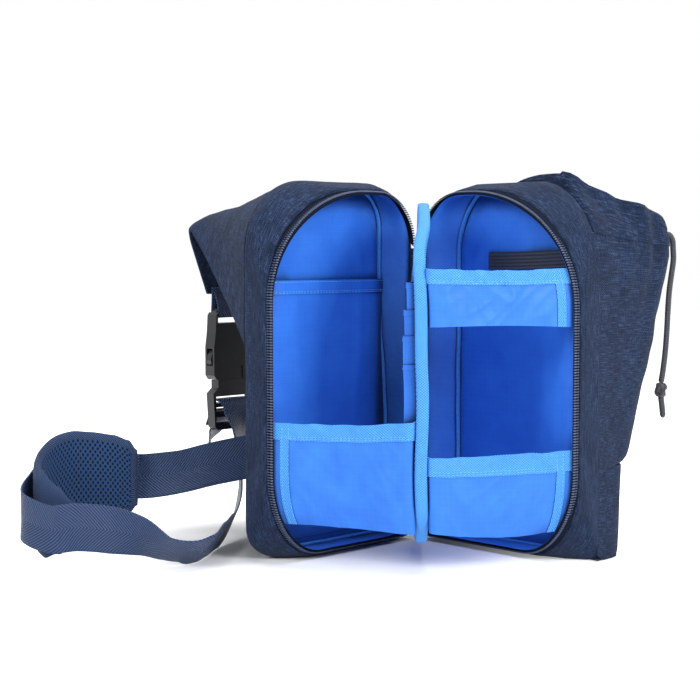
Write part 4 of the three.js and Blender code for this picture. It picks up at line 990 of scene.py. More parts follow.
piece = cloth("divider_edge_tape", len(board_out) - 1, len(TAPE_ROWS) - 1, edge_tape, ring=True)
apply(piece, "SOLIDIFY", thickness=0.5 * MM, offset=0)
finish(piece, grosgrain, "divider_leaf", ["divider_binding"])
rows = [[(in_leaf(w, sgn * 4.75, z), leaf_way * sgn) for w, z in leaf_outline(5.6)] for sgn in (1, -1)]
stitches("divider_edge_stitches", rows, thread_blue, "divider_leaf")

# Card pockets: each is a ripstop panel with a folded top, 2.3 mm behind the next. They
# gape a little, and their free side is turned back to the board.
CARDS = ((233, 5.9), (211, 6.0), (190, 5.0), (167, 2.7))    # each one's top, and how far it gapes
CARD_LOW, CARD_WIDE, CARD_STEP = 79, 129, 2.3
CARD_N, TURNED_N = 26, 3
for n, (top, open_by) in enumerate(CARDS):
    y = 4.8 + n * CARD_STEP
    z0 = CARD_LOW + 3 * n

    def card(u, v):
        flat = min(1.0, u * CARD_N / (CARD_N - TURNED_N))
        turn = max(0.0, u * CARD_N - (CARD_N - TURNED_N)) / TURNED_N
        w, z = 19 + (CARD_WIDE + n) * flat + 0.8 * math.sin(math.pi * turn), z0 + (top - z0) * v
        gape = open_by * step_up((flat - 0.5) / 0.5) * step_up(v / 0.3)
        out = y + gape + 0.4 * slack(w, n * 5, z, 25, 3)
        return in_leaf(w, -(out + (4.0 - out) * turn), z)

    piece = cloth(f"card_pocket_{n + 1}_cloth", CARD_N, 24, card)
    apply(piece, "SOLIDIFY", thickness=0.5 * MM, offset=0)
    finish(piece, ripstop, "divider_leaf", [f"card_pocket_{n + 1}"], angle=75)

    def card_hem(u, v):
        return card(u, (top - 4 + 4.4 * v - z0) / (top - z0))

    piece = cloth(f"card_pocket_{n + 1}_hem", CARD_N, 2, card_hem)
    apply(piece, "SOLIDIFY", thickness=1.1 * MM, offset=0)
    finish(piece, ripstop, "divider_leaf", angle=75)
    sewn = [[(card(i / 24, (top - 3.4 - z0) / (top - z0)) - leaf_way * 0.5 * MM, -leaf_way)
             for i in range(22)]]
    stitches(f"card_pocket_{n + 1}_stitches", sewn, thread_blue, "divider_leaf")


# The hinge: ripstop sewn along the divider's inner edge and into the spine.
def hinge_tape(u, v):
    return in_leaf(1.2 + 9 * u, 0.35 * math.sin(v * 37) * (1 - u), 38 + 200 * v)


piece = cloth("divider_hinge_cloth", 4, 40, hinge_tape)
apply(piece, "SOLIDIFY", thickness=0.6 * MM, offset=0)
finish(piece, ripstop, "divider_leaf", ["divider_hinge_tape"])


# ------------------------------------------------------------------ bands
# Three ripstop bands hang between the divider's edge and the rims and close off the
# compartments. Each has a bound top edge, and its ends are sewn to the tape of the zip.
TAPE_IN = 3.4       # inset of the zip tape's inner face, which the bands are sewn to
BAND_T = 1.2
BAND_N = 72
BAND_LONG = 130     # about how long a band is, for the size of its folds
BANDS = {
    "lower_left": {"side": "back", "z0": 31, "z1": 117, "hem": 14},
    "lower_right": {"side": "front", "z0": 28, "z1": 93, "hem": 16},
    "upper_right": {"side": "front", "z0": 198, "z1": 244, "hem": 12},
}


def band_route(side, z):
    """Plan of a band at one height, from the divider's bound edge to the rim."""
    k = -1 if side == "back" else 1
    y = 5.3 + BAND_T / 2
    a = [in_leaf(LEAF["w1"] + w, k * off, z) for w, off in
         ((-7.2, y), (-4.6, y), (-2.6, y + 1.4), (-2.2, y + 5))]
    b = []
    for d, gap in ((2.2, 1.4), (4.5, 0.25), (9.5, 0.2)):
        w = span(side, d, TAPE_IN + 0.3 + BAND_T / 2 + gap, z)[1]
        b.append(PLACE[side](w, d, z))
    mid = (a[3] + b[0]) / 2 + Vector((3 * k * MM, 3 * MM, 0))
    return [(p - hinge) / MM for p in (*a, mid, *b)]


def even(line, count):
    """The same line with its points spaced evenly."""
    run = run_along(line)
    out, k = [], 0
    for i in range(count + 1):
        s = run[-1] * i / count
        while k < len(run) - 2 and run[k + 1] < s:
            k += 1
        out.append(line[k].lerp(line[k + 1], (s - run[k]) / max(1e-9, run[k + 1] - run[k])))
    return out


# How far the top and bottom edges rise at the divider, the middle and the rim.
EDGE_SET = {"lower_left": ((5, 0, 0), (0, 0, 0)), "lower_right": ((0, -0.5, 1), (4.5, -3.8, -3.3)),
            "upper_right": ((1, -1.2, 1), (0, 0.5, -2))}
towards = Vector((1, -1, 0)).normalized()
for name, spec in BANDS.items():
    side, z0, z1, seam = spec["side"], spec["z0"], spec["z1"], spec["z1"] - spec["hem"]
    routes = {}

    def lay_band(low, high, proud):
        def lay(u, v):
            z = low + (high - low) * u
            key = round(z, 3)
            if key not in routes:
                routes[key] = even(through(band_route(side, z), 96), BAND_N)
            p = routes[key][round(v * BAND_N)] * MM + hinge
            free = step_up((v - 0.07) / 0.12) * step_up((0.93 - v) / 0.12)
            down = 1 - (z - z0) / (z1 - z0)
            set_at = []
            for at_leaf, at_mid, at_rim in EDGE_SET[name]:
                bow = at_mid - (at_leaf + at_rim) / 2
                set_at.append(at_leaf + (at_rim - at_leaf) * v + bow * math.sin(math.pi * v))
            lift = set_at[0] + (set_at[1] - set_at[0]) * down
            s = v * BAND_LONG
            lift += 0.9 * slack(s, 7, z0, 16, 3) * free * (1 - down) ** 2
            give = (1.0 - 0.4 * down) * 2.4 * slack(s, 3, z, 30, 4 + z0 / 50)
            give += 1.1 * slack(s, 9, z, 14, 2)
            give += 2.2 * (crease(s + 0.7 * z, 0.3 * (z - 0.7 * s), 26, z0) - 0.3)
            give += 1.1 * (crease(s - 0.9 * z, 0.3 * (z + 0.9 * s), 18, z0 + 3) - 0.3)
            roll = proud * (1 + 0.25 * slack(s, 1, z, 9, 5))
            p.z = (z + lift + FOOT) * MM
            return p + towards * ((give * free + roll) * MM)
        return lay

    sheet = cloth(f"{name}_band_cloth", 30, BAND_N, lay_band(z0, seam + 1.5, 0.0))
    apply(sheet, "SOLIDIFY", thickness=0.6 * MM, offset=0)
    finish(sheet, ripstop, None, [f"{name}_band"])
    hem = cloth(f"{name}_band_hem", 8, BAND_N, lay_band(seam, z1, 0.1))
    apply(hem, "SOLIDIFY", thickness=1.8 * MM, offset=0)
    finish(hem, grosgrain, None, [f"{name}_band_binding"])
    # The same tape binds the end that is sewn to the zip.
    whole = lay_band(z0, z1 - 1, 0.7)

    def end_tape(u, v):
        return whole(v, round((0.86 + 0.06 * u) * BAND_N) / BAND_N)

    end = cloth(f"{name}_band_end_tape", 5, 30, end_tape)
    apply(end, "SOLIDIFY", thickness=0.9 * MM, offset=0)
    finish(end, grosgrain, None)
    row, low_row = lay_band(seam, z1, 1.15), lay_band(z0, z1, 1.3)
    sewn_line = [[(row(h, i / BAND_N), towards) for i in range(4, BAND_N - 4)] for h in (0.12, 0.24)]
    sewn_line += [[(low_row(i / 30, k / BAND_N), towards) for i in range(31)] for k in (62, 65)]
    sewn = stitches(f"{name}_band_stitches", sewn_line, thread_blue, None)
    for piece in (sheet, hem, end, sewn):
        if side == "front":
            in_leaf(160, 4, 100)
            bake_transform(piece)
        else:
            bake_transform(piece)
    run = run_along(routes[min(routes)])[-1] * MM


# ------------------------------------------------------------------ drawstring pouch
# On the front half's face: a padded base panel, a soft wall that widens upwards, and a
# hem gathered by the drawstring. All three are melange polyester, sewn to the face at
# both sides, and the wall is unlined, so it creases where it is gathered.
# How far it stands out at the base's foot and top, the belly and the lip, and their heights.
POUCH = {"out0": 38, "out1": 43, "puff": 14, "belly": 119, "lip": 108, "split": 76,
         "belly_z": 255, "lip_z": 283, "tilt": 42}
WIDE = 178      # the front half's greatest width


def pouch_out(z):
    """How far the pouch stands out of the face at a height."""
    p = POUCH
    if z <= p["split"]:
        return p["out0"] + (p["out1"] - p["out0"]) * z / p["split"]
    t = (z - p["split"]) / (p["belly_z"] - p["split"])
    if t <= 1:
        puff = p["puff"] * (1 - math.exp((p["split"] - z) / 3))
        return p["out1"] + (p["belly"] - p["puff"] - p["out1"]) * t + puff
    s = (z - p["belly_z"]) / (p["lip_z"] - p["belly_z"])
    return p["belly"] + (p["lip"] - p["belly"]) * s * s


def rise(w, d, z):
    """The mouth rises towards the face, and most at the free side."""
    s = clip((z - POUCH["belly_z"]) / (POUCH["lip_z"] - POUCH["belly_z"]))
    f = clip(d / POUCH["lip"])
    return z + POUCH["tilt"] * s * (1 - f) ** 1.4 * step_up((w - 5) / 105)


def face_edges(z):
    """Where the pouch's cloth meets the sides of the face, at one level of the wall."""
    fa, fb = 4.0, WIDE - 2.0
    for _ in range(5):
        fa = span("front", FACE, 0, min(313, max(20, rise(fa, 0, z))))[0]
        fb += (span("front", FACE, 0, min(313, max(20, rise(fb, 0, z))))[1] - fb) * 0.7
    return fa, fb


SIDE_N, BEND_N, FRONT_N = 16, 8, 22
PLAN_N = 2 * SIDE_N + 2 * BEND_N + FRONT_N
BASE_BEND, WALL_BEND = 20, 30       # radius of the corners, in plan
plans = {}


def pouch_plan(out, r, level):
    """Plan of the wall: out from the face, round two corners and back, with outward ways."""
    key = (round(out, 3), r, round(level, 2))
    if key in plans:
        return plans[key]
    fa, fb = face_edges(level)
    # The side laps the gusset, flush where the face runs out to its full width.
    a, b, y0 = 2.5, WIDE + 0.1, -3.0
    far, near = min(b, fb + 0.5), max(a, fa)
    pts = []
    for i in range(SIDE_N):
        f = i / SIDE_N
        bow = math.sin(math.pi / 2 * f) if far < b - 0.5 else f
        pts.append((far + (b - far) * bow, y0 + (out - r - y0) * f, 1, 0))
    for i in range(BEND_N):
        q = math.pi / 2 * i / BEND_N
        pts.append((b - r + r * math.cos(q), out - r + r * math.sin(q), math.cos(q), math.sin(q)))
    pts += [(b - r - (b - a - 2 * r) * i / FRONT_N, out, 0, 1) for i in range(FRONT_N)]
    for i in range(BEND_N):
        q = math.pi / 2 + math.pi / 2 * i / BEND_N
        pts.append((a + r + r * math.cos(q), out - r + r * math.sin(q), math.cos(q), math.sin(q)))
    for i in range(SIDE_N + 1):
        f = i / SIDE_N
        pts.append((a + (near - a) * f, out - r - (out - r - y0) * f, -1, 0))
    plans[key] = pts
    return pts


def base_panel(u, v):
    i = round(u * PLAN_N)
    z = 0.4 - FOOT + (POUCH["split"] - 0.4 + FOOT) * v
    w, d, ow, od = pouch_plan(pouch_out(max(0, z)), BASE_BEND, 40)[i]
    z += 4.5 * (1 - v) ** 4 * (1 - step_up((d + 3) / 9))
    press = step_up(v / 0.08) * step_up((1 - v) / 0.05)
    give = press * (0.5 + 0.9 * slack(w, d, z, 40, 31)) - 0.8 * (1 - step_up(v / 0.05))
    edge = step_up((d - 1) / 12)
    return in_front(w + ow * give * edge, FACE + d + od * give * edge, z)


piece = cloth("pouch_base_panel", PLAN_N, 30, base_panel)
apply(piece, "SOLIDIFY", thickness=1.6 * MM, offset=-1)
finish(piece, heather, "front_half", ["pouch_base"])


def base_floor(u, v):
    w, d, _, _ = pouch_plan(pouch_out(0), BASE_BEND, 40)[round(u * PLAN_N)]
    return in_front(89 + (w - 89) * (1 - v), FACE + 0.5 + (d - 0.5) * (1 - v), 0.9 - FOOT + 0.5 * v)


piece = cloth("pouch_base_floor", PLAN_N, 6, base_floor)
merge(piece)
apply(piece, "SOLIDIFY", thickness=0.8 * MM, offset=1)
finish(piece, heather, "front_half")

WALL_TOP = 263


def pleat(u, z):
    """Gathers under the hem: folds that open out and fade downwards."""
    t = step_up((z - 150) / 120)
    fold = math.sin(u * 2 * math.pi * 9 + 1.3 * math.sin(u * 23))
    fold += 0.6 * math.sin(u * 2 * math.pi * 17 + 2)
    return t * t * 1.9 * fold


def wall_give(u, w, d, z):
    """How far the pouch cloth stands out from its plan."""
    hold = step_up((d - 1) / 14)
    give = hold * (pleat(u, z) + 2.2 * step_up((z - 80) / 40) * slack(w, d, z * 0.7, 52, 41)
                   + 0.9 * slack(w, d, z, 19, 44))
    low_seam = 1 - step_up((z - POUCH["split"]) / 14)
    return give * (1 - low_seam) + 0.4 * low_seam


def wall_panel(u, v):
    z = POUCH["split"] + (WALL_TOP - POUCH["split"]) * v
    w, d, ow, od = pouch_plan(pouch_out(z), WALL_BEND, z)[round(u * PLAN_N)]
    give = wall_give(u, w, d, z)
    w, d = w + ow * give, d + od * give
    return in_front(w, FACE + d, rise(w, d, z))


wall_piece = cloth("pouch_wall_cloth", PLAN_N, 64, wall_panel)
apply(wall_piece, "SOLIDIFY", thickness=0.8 * MM, offset=-1)
finish(wall_piece, heather, "front_half", ["pouch_wall"])

# Hem: a tube of the same cloth round the mouth, ruffled over the drawstring inside it.
# Its section: how far up from the wall's top, and how far out.
HEM_ROWS = [(0, 0.5), (2, 0.9), (6, 1.8), (10, 1.6), (14, 2.9), (18, 2.4), (20.5, 1.2), (20.8, 0.0),
            (20.2, -1.2), (17, -2.2), (12, -1.4), (8, -2.0), (4, -1.6), (0, -0.6)]
HEM_TALL = 20.5
MOUTH_ROUND = 560       # the way round the mouth


def ruffle(s, up):
    """Waves of the gathered hem, s round the mouth in mm, stronger towards its lip."""
    lift = step_up(up / 14)
    return lift * (2.6 * math.sin(s / 4.3 + 0.9 * math.sin(s / 31)) + 1.5 * math.sin(s / 9.1 + 1))


def mouth_line(z):
    """The mouth's closed plan at a height: round the wall and back along the face."""
    pts = pouch_plan(pouch_out(z), WALL_BEND, z)
    a, b = pts[-1][0], pts[0][0]
    back_run = [(a + (b - a) * i / 40, 0.9, 0, -0.4) for i in range(1, 40)]
    return pts + back_run + [pts[0]]


hem_count = len(mouth_line(280)) - 1


def hem_cloth(u, v):
    i, j = round(u * hem_count), round(v * (len(HEM_ROWS) - 1))
    up, proud = HEM_ROWS[j]
    z = WALL_TOP + up * (POUCH["lip_z"] - WALL_TOP) / HEM_TALL
    line = mouth_line(min(z, POUCH["lip_z"]))
    w, d, ow, od = line[i % hem_count]
    hold = 1.0 if i <= PLAN_N else 0.25
    give = proud * (1 if i <= PLAN_N else 0.3)
    give += hold * ruffle(u * MOUTH_ROUND, up) * min(1, 0.3 + d / 20)
    if i <= PLAN_N:
        give += wall_give(i / PLAN_N, w, d, WALL_TOP) * (1 - step_up(up / 14))
    w2, d2 = w + ow * give, max(0.4, d + od * give)
    wave = hold * 2.0 * step_up((up - 8) / 12) * math.sin(u * MOUTH_ROUND / 12.5 + 2)
    return in_front(w2, FACE + d2, rise(w2, d2, z) + wave)


hem_piece = cloth("pouch_hem_cloth", hem_count, len(HEM_ROWS) - 1, hem_cloth, ring=True)
apply(hem_piece, "SOLIDIFY", thickness=0.5 * MM, offset=0)
finish(hem_piece, heather, "front_half", ["pouch_hem"])


# ------------------------------------------------------------------ zip slider and puller
# A painted zinc slider stands at the zip's top end by the spine, with a braid-covered pull.
alloy, tree = material("painted zinc")
spot = add(tree, "ShaderNodeTexCoord").outputs["Object"]
grain = add(tree, "ShaderNodeTexNoise", Vector=spot, Scale=1400.0, Detail=3.0)
tone = add(tree, "ShaderNodeMix", {"data_type": "RGBA"}, i0=grain.outputs["Fac"],
           i6=linear("#1c1d20"), i7=linear("#3a3b40"))
bump = add(tree, "ShaderNodeBump", Strength=0.15, Distance=0.0001, Height=grain.outputs["Fac"])
skin = add(tree, "ShaderNodeBsdfPrincipled", Base_Color=tone.outputs[2], Roughness=0.32, Metallic=0.8,
           Normal=bump.outputs[0])
add(tree, "ShaderNodeOutputMaterial", Surface=skin.outputs[0])


def dress(node, finish_of, bevel):
    """A CAD node keeps its shape, and gets softened edges and a material."""
    piece = frame["nodes"][node]
    work = piece.modifiers.new("soft edges", "BEVEL")
    work.width = bevel * MM
    work.segments = 2
    work.limit_method = "ANGLE"
    work.angle_limit = math.radians(35)
    piece.data.materials.clear()
    piece.data.materials.append(finish_of)


dress("zip_slider", alloy, 0.5)
dress("zip_puller", braid, 0.5)


# ------------------------------------------------------------------ yoke
# A wide flap of padded melange polyester, sewn along the arch at the back of the bag and
# drawn to the buckle. Its long edges are turned in and topstitched.
CREST_OUT, CREST_Z, TIP_OUT, TIP_Z, SEAM_LOW = 123, 293, 125, 217, 179
BUCKLE_W, BUCKLE_OUT, BUCKLE_Z = 89, 119, 140
CREST_V, BEND_V = 0.62, 0.72    # where along the flap its crest and its downward bend lie

# The arch that it is sewn to, from the free side over the top to the hinge side.
arch_top = outline("back", 33.5, 3)[:sum(RUNS[:3]) + 1]
arch = [(WIDE - 5.5, SEAM_LOW), *arch_top[::-1], (3, SEAM_LOW)]
arch_run = [0.0]
for a, b in zip(arch, arch[1:]):
    arch_run.append(arch_run[-1] + math.hypot(b[0] - a[0], b[1] - a[1]))


def yoke_at(u, v):
    """The flap before its bends are rounded: from the arch up to the crest, over and down."""
    s = u * arch_run[-1]
    i = 1
    while i < len(arch_run) - 1 and arch_run[i] < s:
        i += 1
    t = (s - arch_run[i - 1]) / (arch_run[i] - arch_run[i - 1])
    root = Vector((arch[i - 1][0] + (arch[i][0] - arch[i - 1][0]) * t, FACE + 0.3,
                   arch[i - 1][1] + (arch[i][1] - arch[i - 1][1]) * t))
    k = 2 * u - 1
    drop = 30 * abs(k) ** 3
    crest = Vector((BUCKLE_W - 47 * math.copysign(abs(k) ** 0.8, k), FACE + CREST_OUT - 2,
                    CREST_Z - 0.4 * drop))
    bend = Vector((BUCKLE_W - 41 * k, FACE + CREST_OUT + 4, CREST_Z - 14 - 0.3 * drop))
    tip = Vector((BUCKLE_W - 22 * k, FACE + TIP_OUT, TIP_Z))
    if v < CREST_V:
        q = v / CREST_V
        p = root.lerp(crest, q)
        p.z += math.sin(math.pi * q) * (8 * k * k - 3)
        return p
    if v < BEND_V:
        return crest.lerp(bend, (v - CREST_V) / 0.1)
    return bend.lerp(tip, (v - BEND_V) / 0.28)


def yoke_soft(u, v):
    """The flap's middle surface with its bends rounded, in millimetres."""
    p = Vector((0, 0, 0))
    for dv, share in ((-0.035, 1), (0, 2), (0.035, 1)):
        p += yoke_at(u, min(1, max(0, v + dv))) * share
    p /= 4
    if v == 0:
        p = yoke_at(u, 0)
    free = step_up(v / 0.12)
    give = free * (1.5 * slack(p.x, p.y, p.z, 42, 51) + 0.7 * slack(p.x, p.y, p.z, 15, 52))
    return p + Vector((0, give * 0.4, give))


def yoke_lay(u, v):
    p = yoke_soft(u, v)
    return in_back(p.x, max(FACE + 0.9, p.y), p.z)


yoke = cloth("yoke_flap", 60, 48, yoke_lay)
apply(yoke, "SOLIDIFY", thickness=2.4 * MM, offset=0)
apply(yoke, "BEVEL", width=0.8 * MM, segments=2, limit_method="ANGLE", angle_limit=math.radians(60))
finish(yoke, heather, "back_half", ["shoulder_yoke"], angle=75)


# ------------------------------------------------------------------ webbing
# Seat-belt webbing 40 mm wide and 1.3 mm thick, sewn or threaded at each end.
# Nylon webbing: a herringbone of flat yarns 1 mm wide, drawn at 2 mm, that turns along the
# middle. It is smooth and calendered, so it takes a long soft highlight.
webbing, tree = material("nylon herringbone webbing")
spot = add(tree, "ShaderNodeTexCoord").outputs["UV"]
split = add(tree, "ShaderNodeSeparateXYZ", Vector=spot)
fold = add(tree, "ShaderNodeMath", {"operation": "PINGPONG"}, i0=split.outputs["X"], i1=20.0)
slant = add(tree, "ShaderNodeMath", {"operation": "ADD"}, i0=split.outputs["Y"], i1=fold.outputs[0])
yarn = waves(tree, slant.outputs[0], 2.8)
level = add(tree, "ShaderNodeMapRange", Value=yarn, From_Min=-1.0, From_Max=1.0)
cloud = add(tree, "ShaderNodeTexNoise", Vector=spot, Scale=0.08, Detail=2.0)
tone = add(tree, "ShaderNodeMix", {"data_type": "RGBA"}, i0=level.outputs[0],
           i6=linear("#0a1428"), i7=linear("#3a5280"))
tone2 = add(tree, "ShaderNodeMix", {"data_type": "RGBA"}, i0=add(
    tree, "ShaderNodeMath", {"operation": "MULTIPLY"}, i0=cloud.outputs["Fac"], i1=0.3).outputs[0],
    i6=tone.outputs[2], i7=linear("#1b2c4b"))
bump = add(tree, "ShaderNodeBump", Strength=0.7, Distance=0.0004, Height=yarn)
skin = add(tree, "ShaderNodeBsdfPrincipled", Base_Color=tone2.outputs[2], Roughness=0.42,
           Sheen_Weight=0.02, Sheen_Roughness=0.35, Specular_IOR_Level=0.25,
           Normal=bump.outputs[0])
add(tree, "ShaderNodeOutputMaterial", Surface=skin.outputs[0])

WEB, WEB_T = 40, 1.3


def ribbon(name, stops, width, per, node):
    """Webbing along stops of ((w, d, z), direction of its width) on the back half."""
    last = len(stops) - 1
    line = through([s[0] for s in stops], last * per)
    frames = []
    for i, p in enumerate(line):
        f = i / per
        k = min(last - 1, int(f))
        e = Vector(stops[k][1]).lerp(Vector(stops[k + 1][1]), f - k)
        along = (line[min(i + 1, len(line) - 1)] - line[max(0, i - 1)]).normalized()
        e = (e - along * e.dot(along)).normalized()
        face = along.cross(e).normalized()
        low = abs(e.z) * width / 2 + abs(face.z) * WEB_T / 2 + 0.2 - FOOT
        frames.append((Vector((p.x, p.y, max(p.z, low))), e, face))

    def lay(u, v):
        p, e, face = frames[round(v * (len(frames) - 1))]
        cup = 0.35 * (1 - (2 * u - 1) ** 2)
        q = p + e * (width * (u - 0.5)) + face * (cup - 0.17)
        return in_back(q.x, q.y, max(q.z, WEB_T / 2 + 0.3 - FOOT))

    piece = cloth(name, 12, len(frames) - 1, lay)
    apply(piece, "SOLIDIFY", thickness=WEB_T * MM, offset=0)
    apply(piece, "BEVEL", width=0.4 * MM, segments=1, limit_method="ANGLE", angle_limit=math.radians(60))
    finish(piece, webbing, "back_half", [node], angle=50)


# The yoke's tab: a loop from the tip, round the socket's bar and back up.
across = (1, 0, 0)
B = FACE + BUCKLE_OUT
SOCKET_TALL, BAR_DOWN = 66, 8
bar_z = BUCKLE_Z + SOCKET_TALL - BAR_DOWN
TAB = [(B + 3.5, TIP_Z + 9), (B + 3.9, TIP_Z - 6), (B + 4.4, bar_z + 3.5), (B + 2.6, bar_z + 0.2),
       (B - 2.6, bar_z + 0.2), (B - 4.4, bar_z + 3.5), (B - 4.5, TIP_Z - 9), (B + 0.8, TIP_Z + 5)]
ribbon("yoke_tab_web", [((BUCKLE_W, d, z), across) for d, z in TAB], WEB - 2, 4, "yoke_tab")


# ------------------------------------------------------------------ shoulder pad
# A curved foam pad, 8 mm thick, stands on its left tip inside the strap's bend. Its inner
# face is open spacer mesh, and a wide twill binding goes round the edge.
# The pad's middle line, from its left tip, with its half height at each place.
PAD = [((283, 131, 30), 19), ((292, 141, 33), 29), ((298, 153, 37.5), 37),
       ((293, 168, 44.5), 39.5), ((279, 181, 51.5), 39.5), ((262, 189, 57.5), 39.5),
       ((244, 190.5, 61), 39), ((227, 185, 60.5), 38), ((211, 174, 59), 36.5),
       ((202, 163, 58), 33), ((197.5, 156, 57.5), 25)]
PAD_T = 8
PAD_N = 64
PAD_CROWN = 0.12        # how much the foam swells towards the middle
pad_line = through([p for p, _ in PAD], (len(PAD) - 1) * 40)


def pad_frame(f):
    """Middle, way along, way inward and half height of the pad at f along it."""
    x = f * (len(pad_line) - 1)
    k = min(int(x), len(pad_line) - 2)
    p = pad_line[k].lerp(pad_line[k + 1], x - k)
    a, b = pad_line[max(0, k - 1)], pad_line[min(len(pad_line) - 1, k + 2)]
    tan = Vector((b.x - a.x, b.y - a.y, 0)).normalized()
    n = f * (len(PAD) - 1)
    j = min(len(PAD) - 2, int(n))
    h = PAD[j][1] + (PAD[j + 1][1] - PAD[j][1]) * step_up(n - j)
    return p, tan, Vector((-tan.y, tan.x, 0)), min(h, p.z + FOOT - 0.4)


# Twill binding: knitted polyester, with ribs on the slant every 1 mm, drawn at 1.8 mm.
twill, tree = material("ribbed twill binding")
spot = add(tree, "ShaderNodeTexCoord").outputs["UV"]
split = add(tree, "ShaderNodeSeparateXYZ", Vector=spot)
slant = add(tree, "ShaderNodeMath", {"operation": "ADD"}, i0=split.outputs["X"], i1=split.outputs["Y"])
rib = waves(tree, slant.outputs[0], 2.6)
level = add(tree, "ShaderNodeMapRange", Value=rib, From_Min=-1.0, From_Max=1.0)
tone = add(tree, "ShaderNodeMix", {"data_type": "RGBA"}, i0=level.outputs[0],
           i6=linear("#0b162b"), i7=linear("#3a5078"))
bump = add(tree, "ShaderNodeBump", Strength=0.6, Distance=0.0004, Height=rib)
skin = add(tree, "ShaderNodeBsdfPrincipled", Base_Color=tone.outputs[2], Roughness=0.7,
           Sheen_Weight=0.05, Specular_IOR_Level=0.15, Normal=bump.outputs[0])
add(tree, "ShaderNodeOutputMaterial", Surface=skin.outputs[0])

# A quarter of the pad's section, as shares of its half height and half thickness.
PAD_EDGE = [(0.0, 1.0), (0.45, 1.0), (0.72, 0.98), (0.86, 0.8), (0.95, 0.45), (1.0, 0.0)]
pad_half = PAD_EDGE + [(up, -inward) for up, inward in PAD_EDGE[-2::-1]]
PAD_ROWS = pad_half + [(-up, inward) for up, inward in pad_half[-2::-1]]


def pad_skin(u, v):
    up, inward = PAD_ROWS[round(u * (len(PAD_ROWS) - 1))]
    p, _, inw, h = pad_frame(v)
    end = min(1.0, min(v, 1 - v) / 0.05)
    thin = 0.35 + 0.65 * math.sin(math.pi / 2 * end)
    crown = 1 + PAD_CROWN * (1 - up * up)
    q = p + inw * (inward * PAD_T / 2 * thin * crown)
    return in_back(q.x, q.y, p.z + up * h)


pad = cloth("pad_body_cloth", len(PAD_ROWS) - 1, PAD_N, pad_skin, ring=True)
close_ends(pad)
finish(pad, twill, "back_half", ["shoulder_pad"])

# Spacer mesh: navy knitted nylon with holes in staggered rows, 6.4 by 4.4 mm apart, over a
# nearly black back layer.
spacer, tree = material("spacer mesh")
spot = add(tree, "ShaderNodeTexCoord").outputs["UV"]
split = add(tree, "ShaderNodeSeparateXYZ", Vector=spot)
holes = add(tree, "ShaderNodeMath", {"operation": "MULTIPLY"},
            i0=waves(tree, split.outputs["X"], 6.4, "COSINE"),
            i1=waves(tree, split.outputs["Y"], 4.4, "COSINE"))
level = add(tree, "ShaderNodeMapRange", {"interpolation_type": "SMOOTHSTEP"}, Value=holes.outputs[0],
            From_Min=0.05, From_Max=0.45)
tone = add(tree, "ShaderNodeMix", {"data_type": "RGBA"}, i0=level.outputs[0],
           i6=linear("#27446e"), i7=linear("#050b17"))
flip = add(tree, "ShaderNodeMath", {"operation": "SUBTRACT"}, i0=1.0, i1=level.outputs[0])
bump = add(tree, "ShaderNodeBump", Strength=0.8, Distance=0.0009, Height=flip.outputs[0])
skin = add(tree, "ShaderNodeBsdfPrincipled", Base_Color=tone.outputs[2], Roughness=0.8,
           Sheen_Weight=0.02, Specular_IOR_Level=0.15, Normal=bump.outputs[0])
add(tree, "ShaderNodeOutputMaterial", Surface=skin.outputs[0])


BIND_IN = 7.0       # how much of the pad's height the binding covers at each edge


def pad_face(u, v):
    p, _, inw, h = pad_frame(0.06 + 0.88 * v)
    up = (2 * u - 1) * (h - BIND_IN) / h
    swell = 0.6 * math.sin(math.pi * u) * min(1, math.sin(math.pi * v) * 3)
    crown = 1 + PAD_CROWN * (1 - up * up)
    q = p + inw * (PAD_T / 2 * crown + 0.35 + swell)
    return in_back(q.x, q.y, p.z + up * h)


piece = cloth("pad_spacer_mesh", 24, 60, pad_face)
apply(piece, "SOLIDIFY", thickness=1.0 * MM, offset=0)
finish(piece, spacer, "back_half", ["pad_mesh"])


KEEPER_N = 54


def keeper_band(name, f, node):
    """A loop of narrow webbing over the strap, sewn to the pad's outer face."""
    p, tan, inw, _ = pad_frame(f)
    hi, deep = WEB / 2 + 4, 6.4
    path = [(-hi - 7, 0), (-hi - 1, 0), (-hi + 0.6, 1.2), (-hi + 0.8, deep - 0.6),
            (-hi + 2.2, deep + 0.6), (hi - 2.2, deep + 0.6), (hi - 0.8, deep - 0.6),
            (hi - 0.6, 1.2), (hi + 1, 0), (hi + 7, 0)]
    line = through([(0, a, b) for a, b in path], KEEPER_N)

    def lay(u, v):
        q = line[round(v * KEEPER_N)]
        base = p + tan * (10 * (u - 0.5)) + inw * (-(PAD_T / 2 + 0.9) - q.z)
        return in_back(base.x, base.y, p.z + q.y)

    made = cloth(name, 4, KEEPER_N, lay)
    apply(made, "SOLIDIFY", thickness=1.0 * MM, offset=0)
    finish(made, elastic_knit, "back_half", [node])


keeper_band("pad_keeper_a_web", 0.52, "pad_keeper_a")
keeper_band("pad_keeper_b_web", 0.82, "pad_keeper_b")


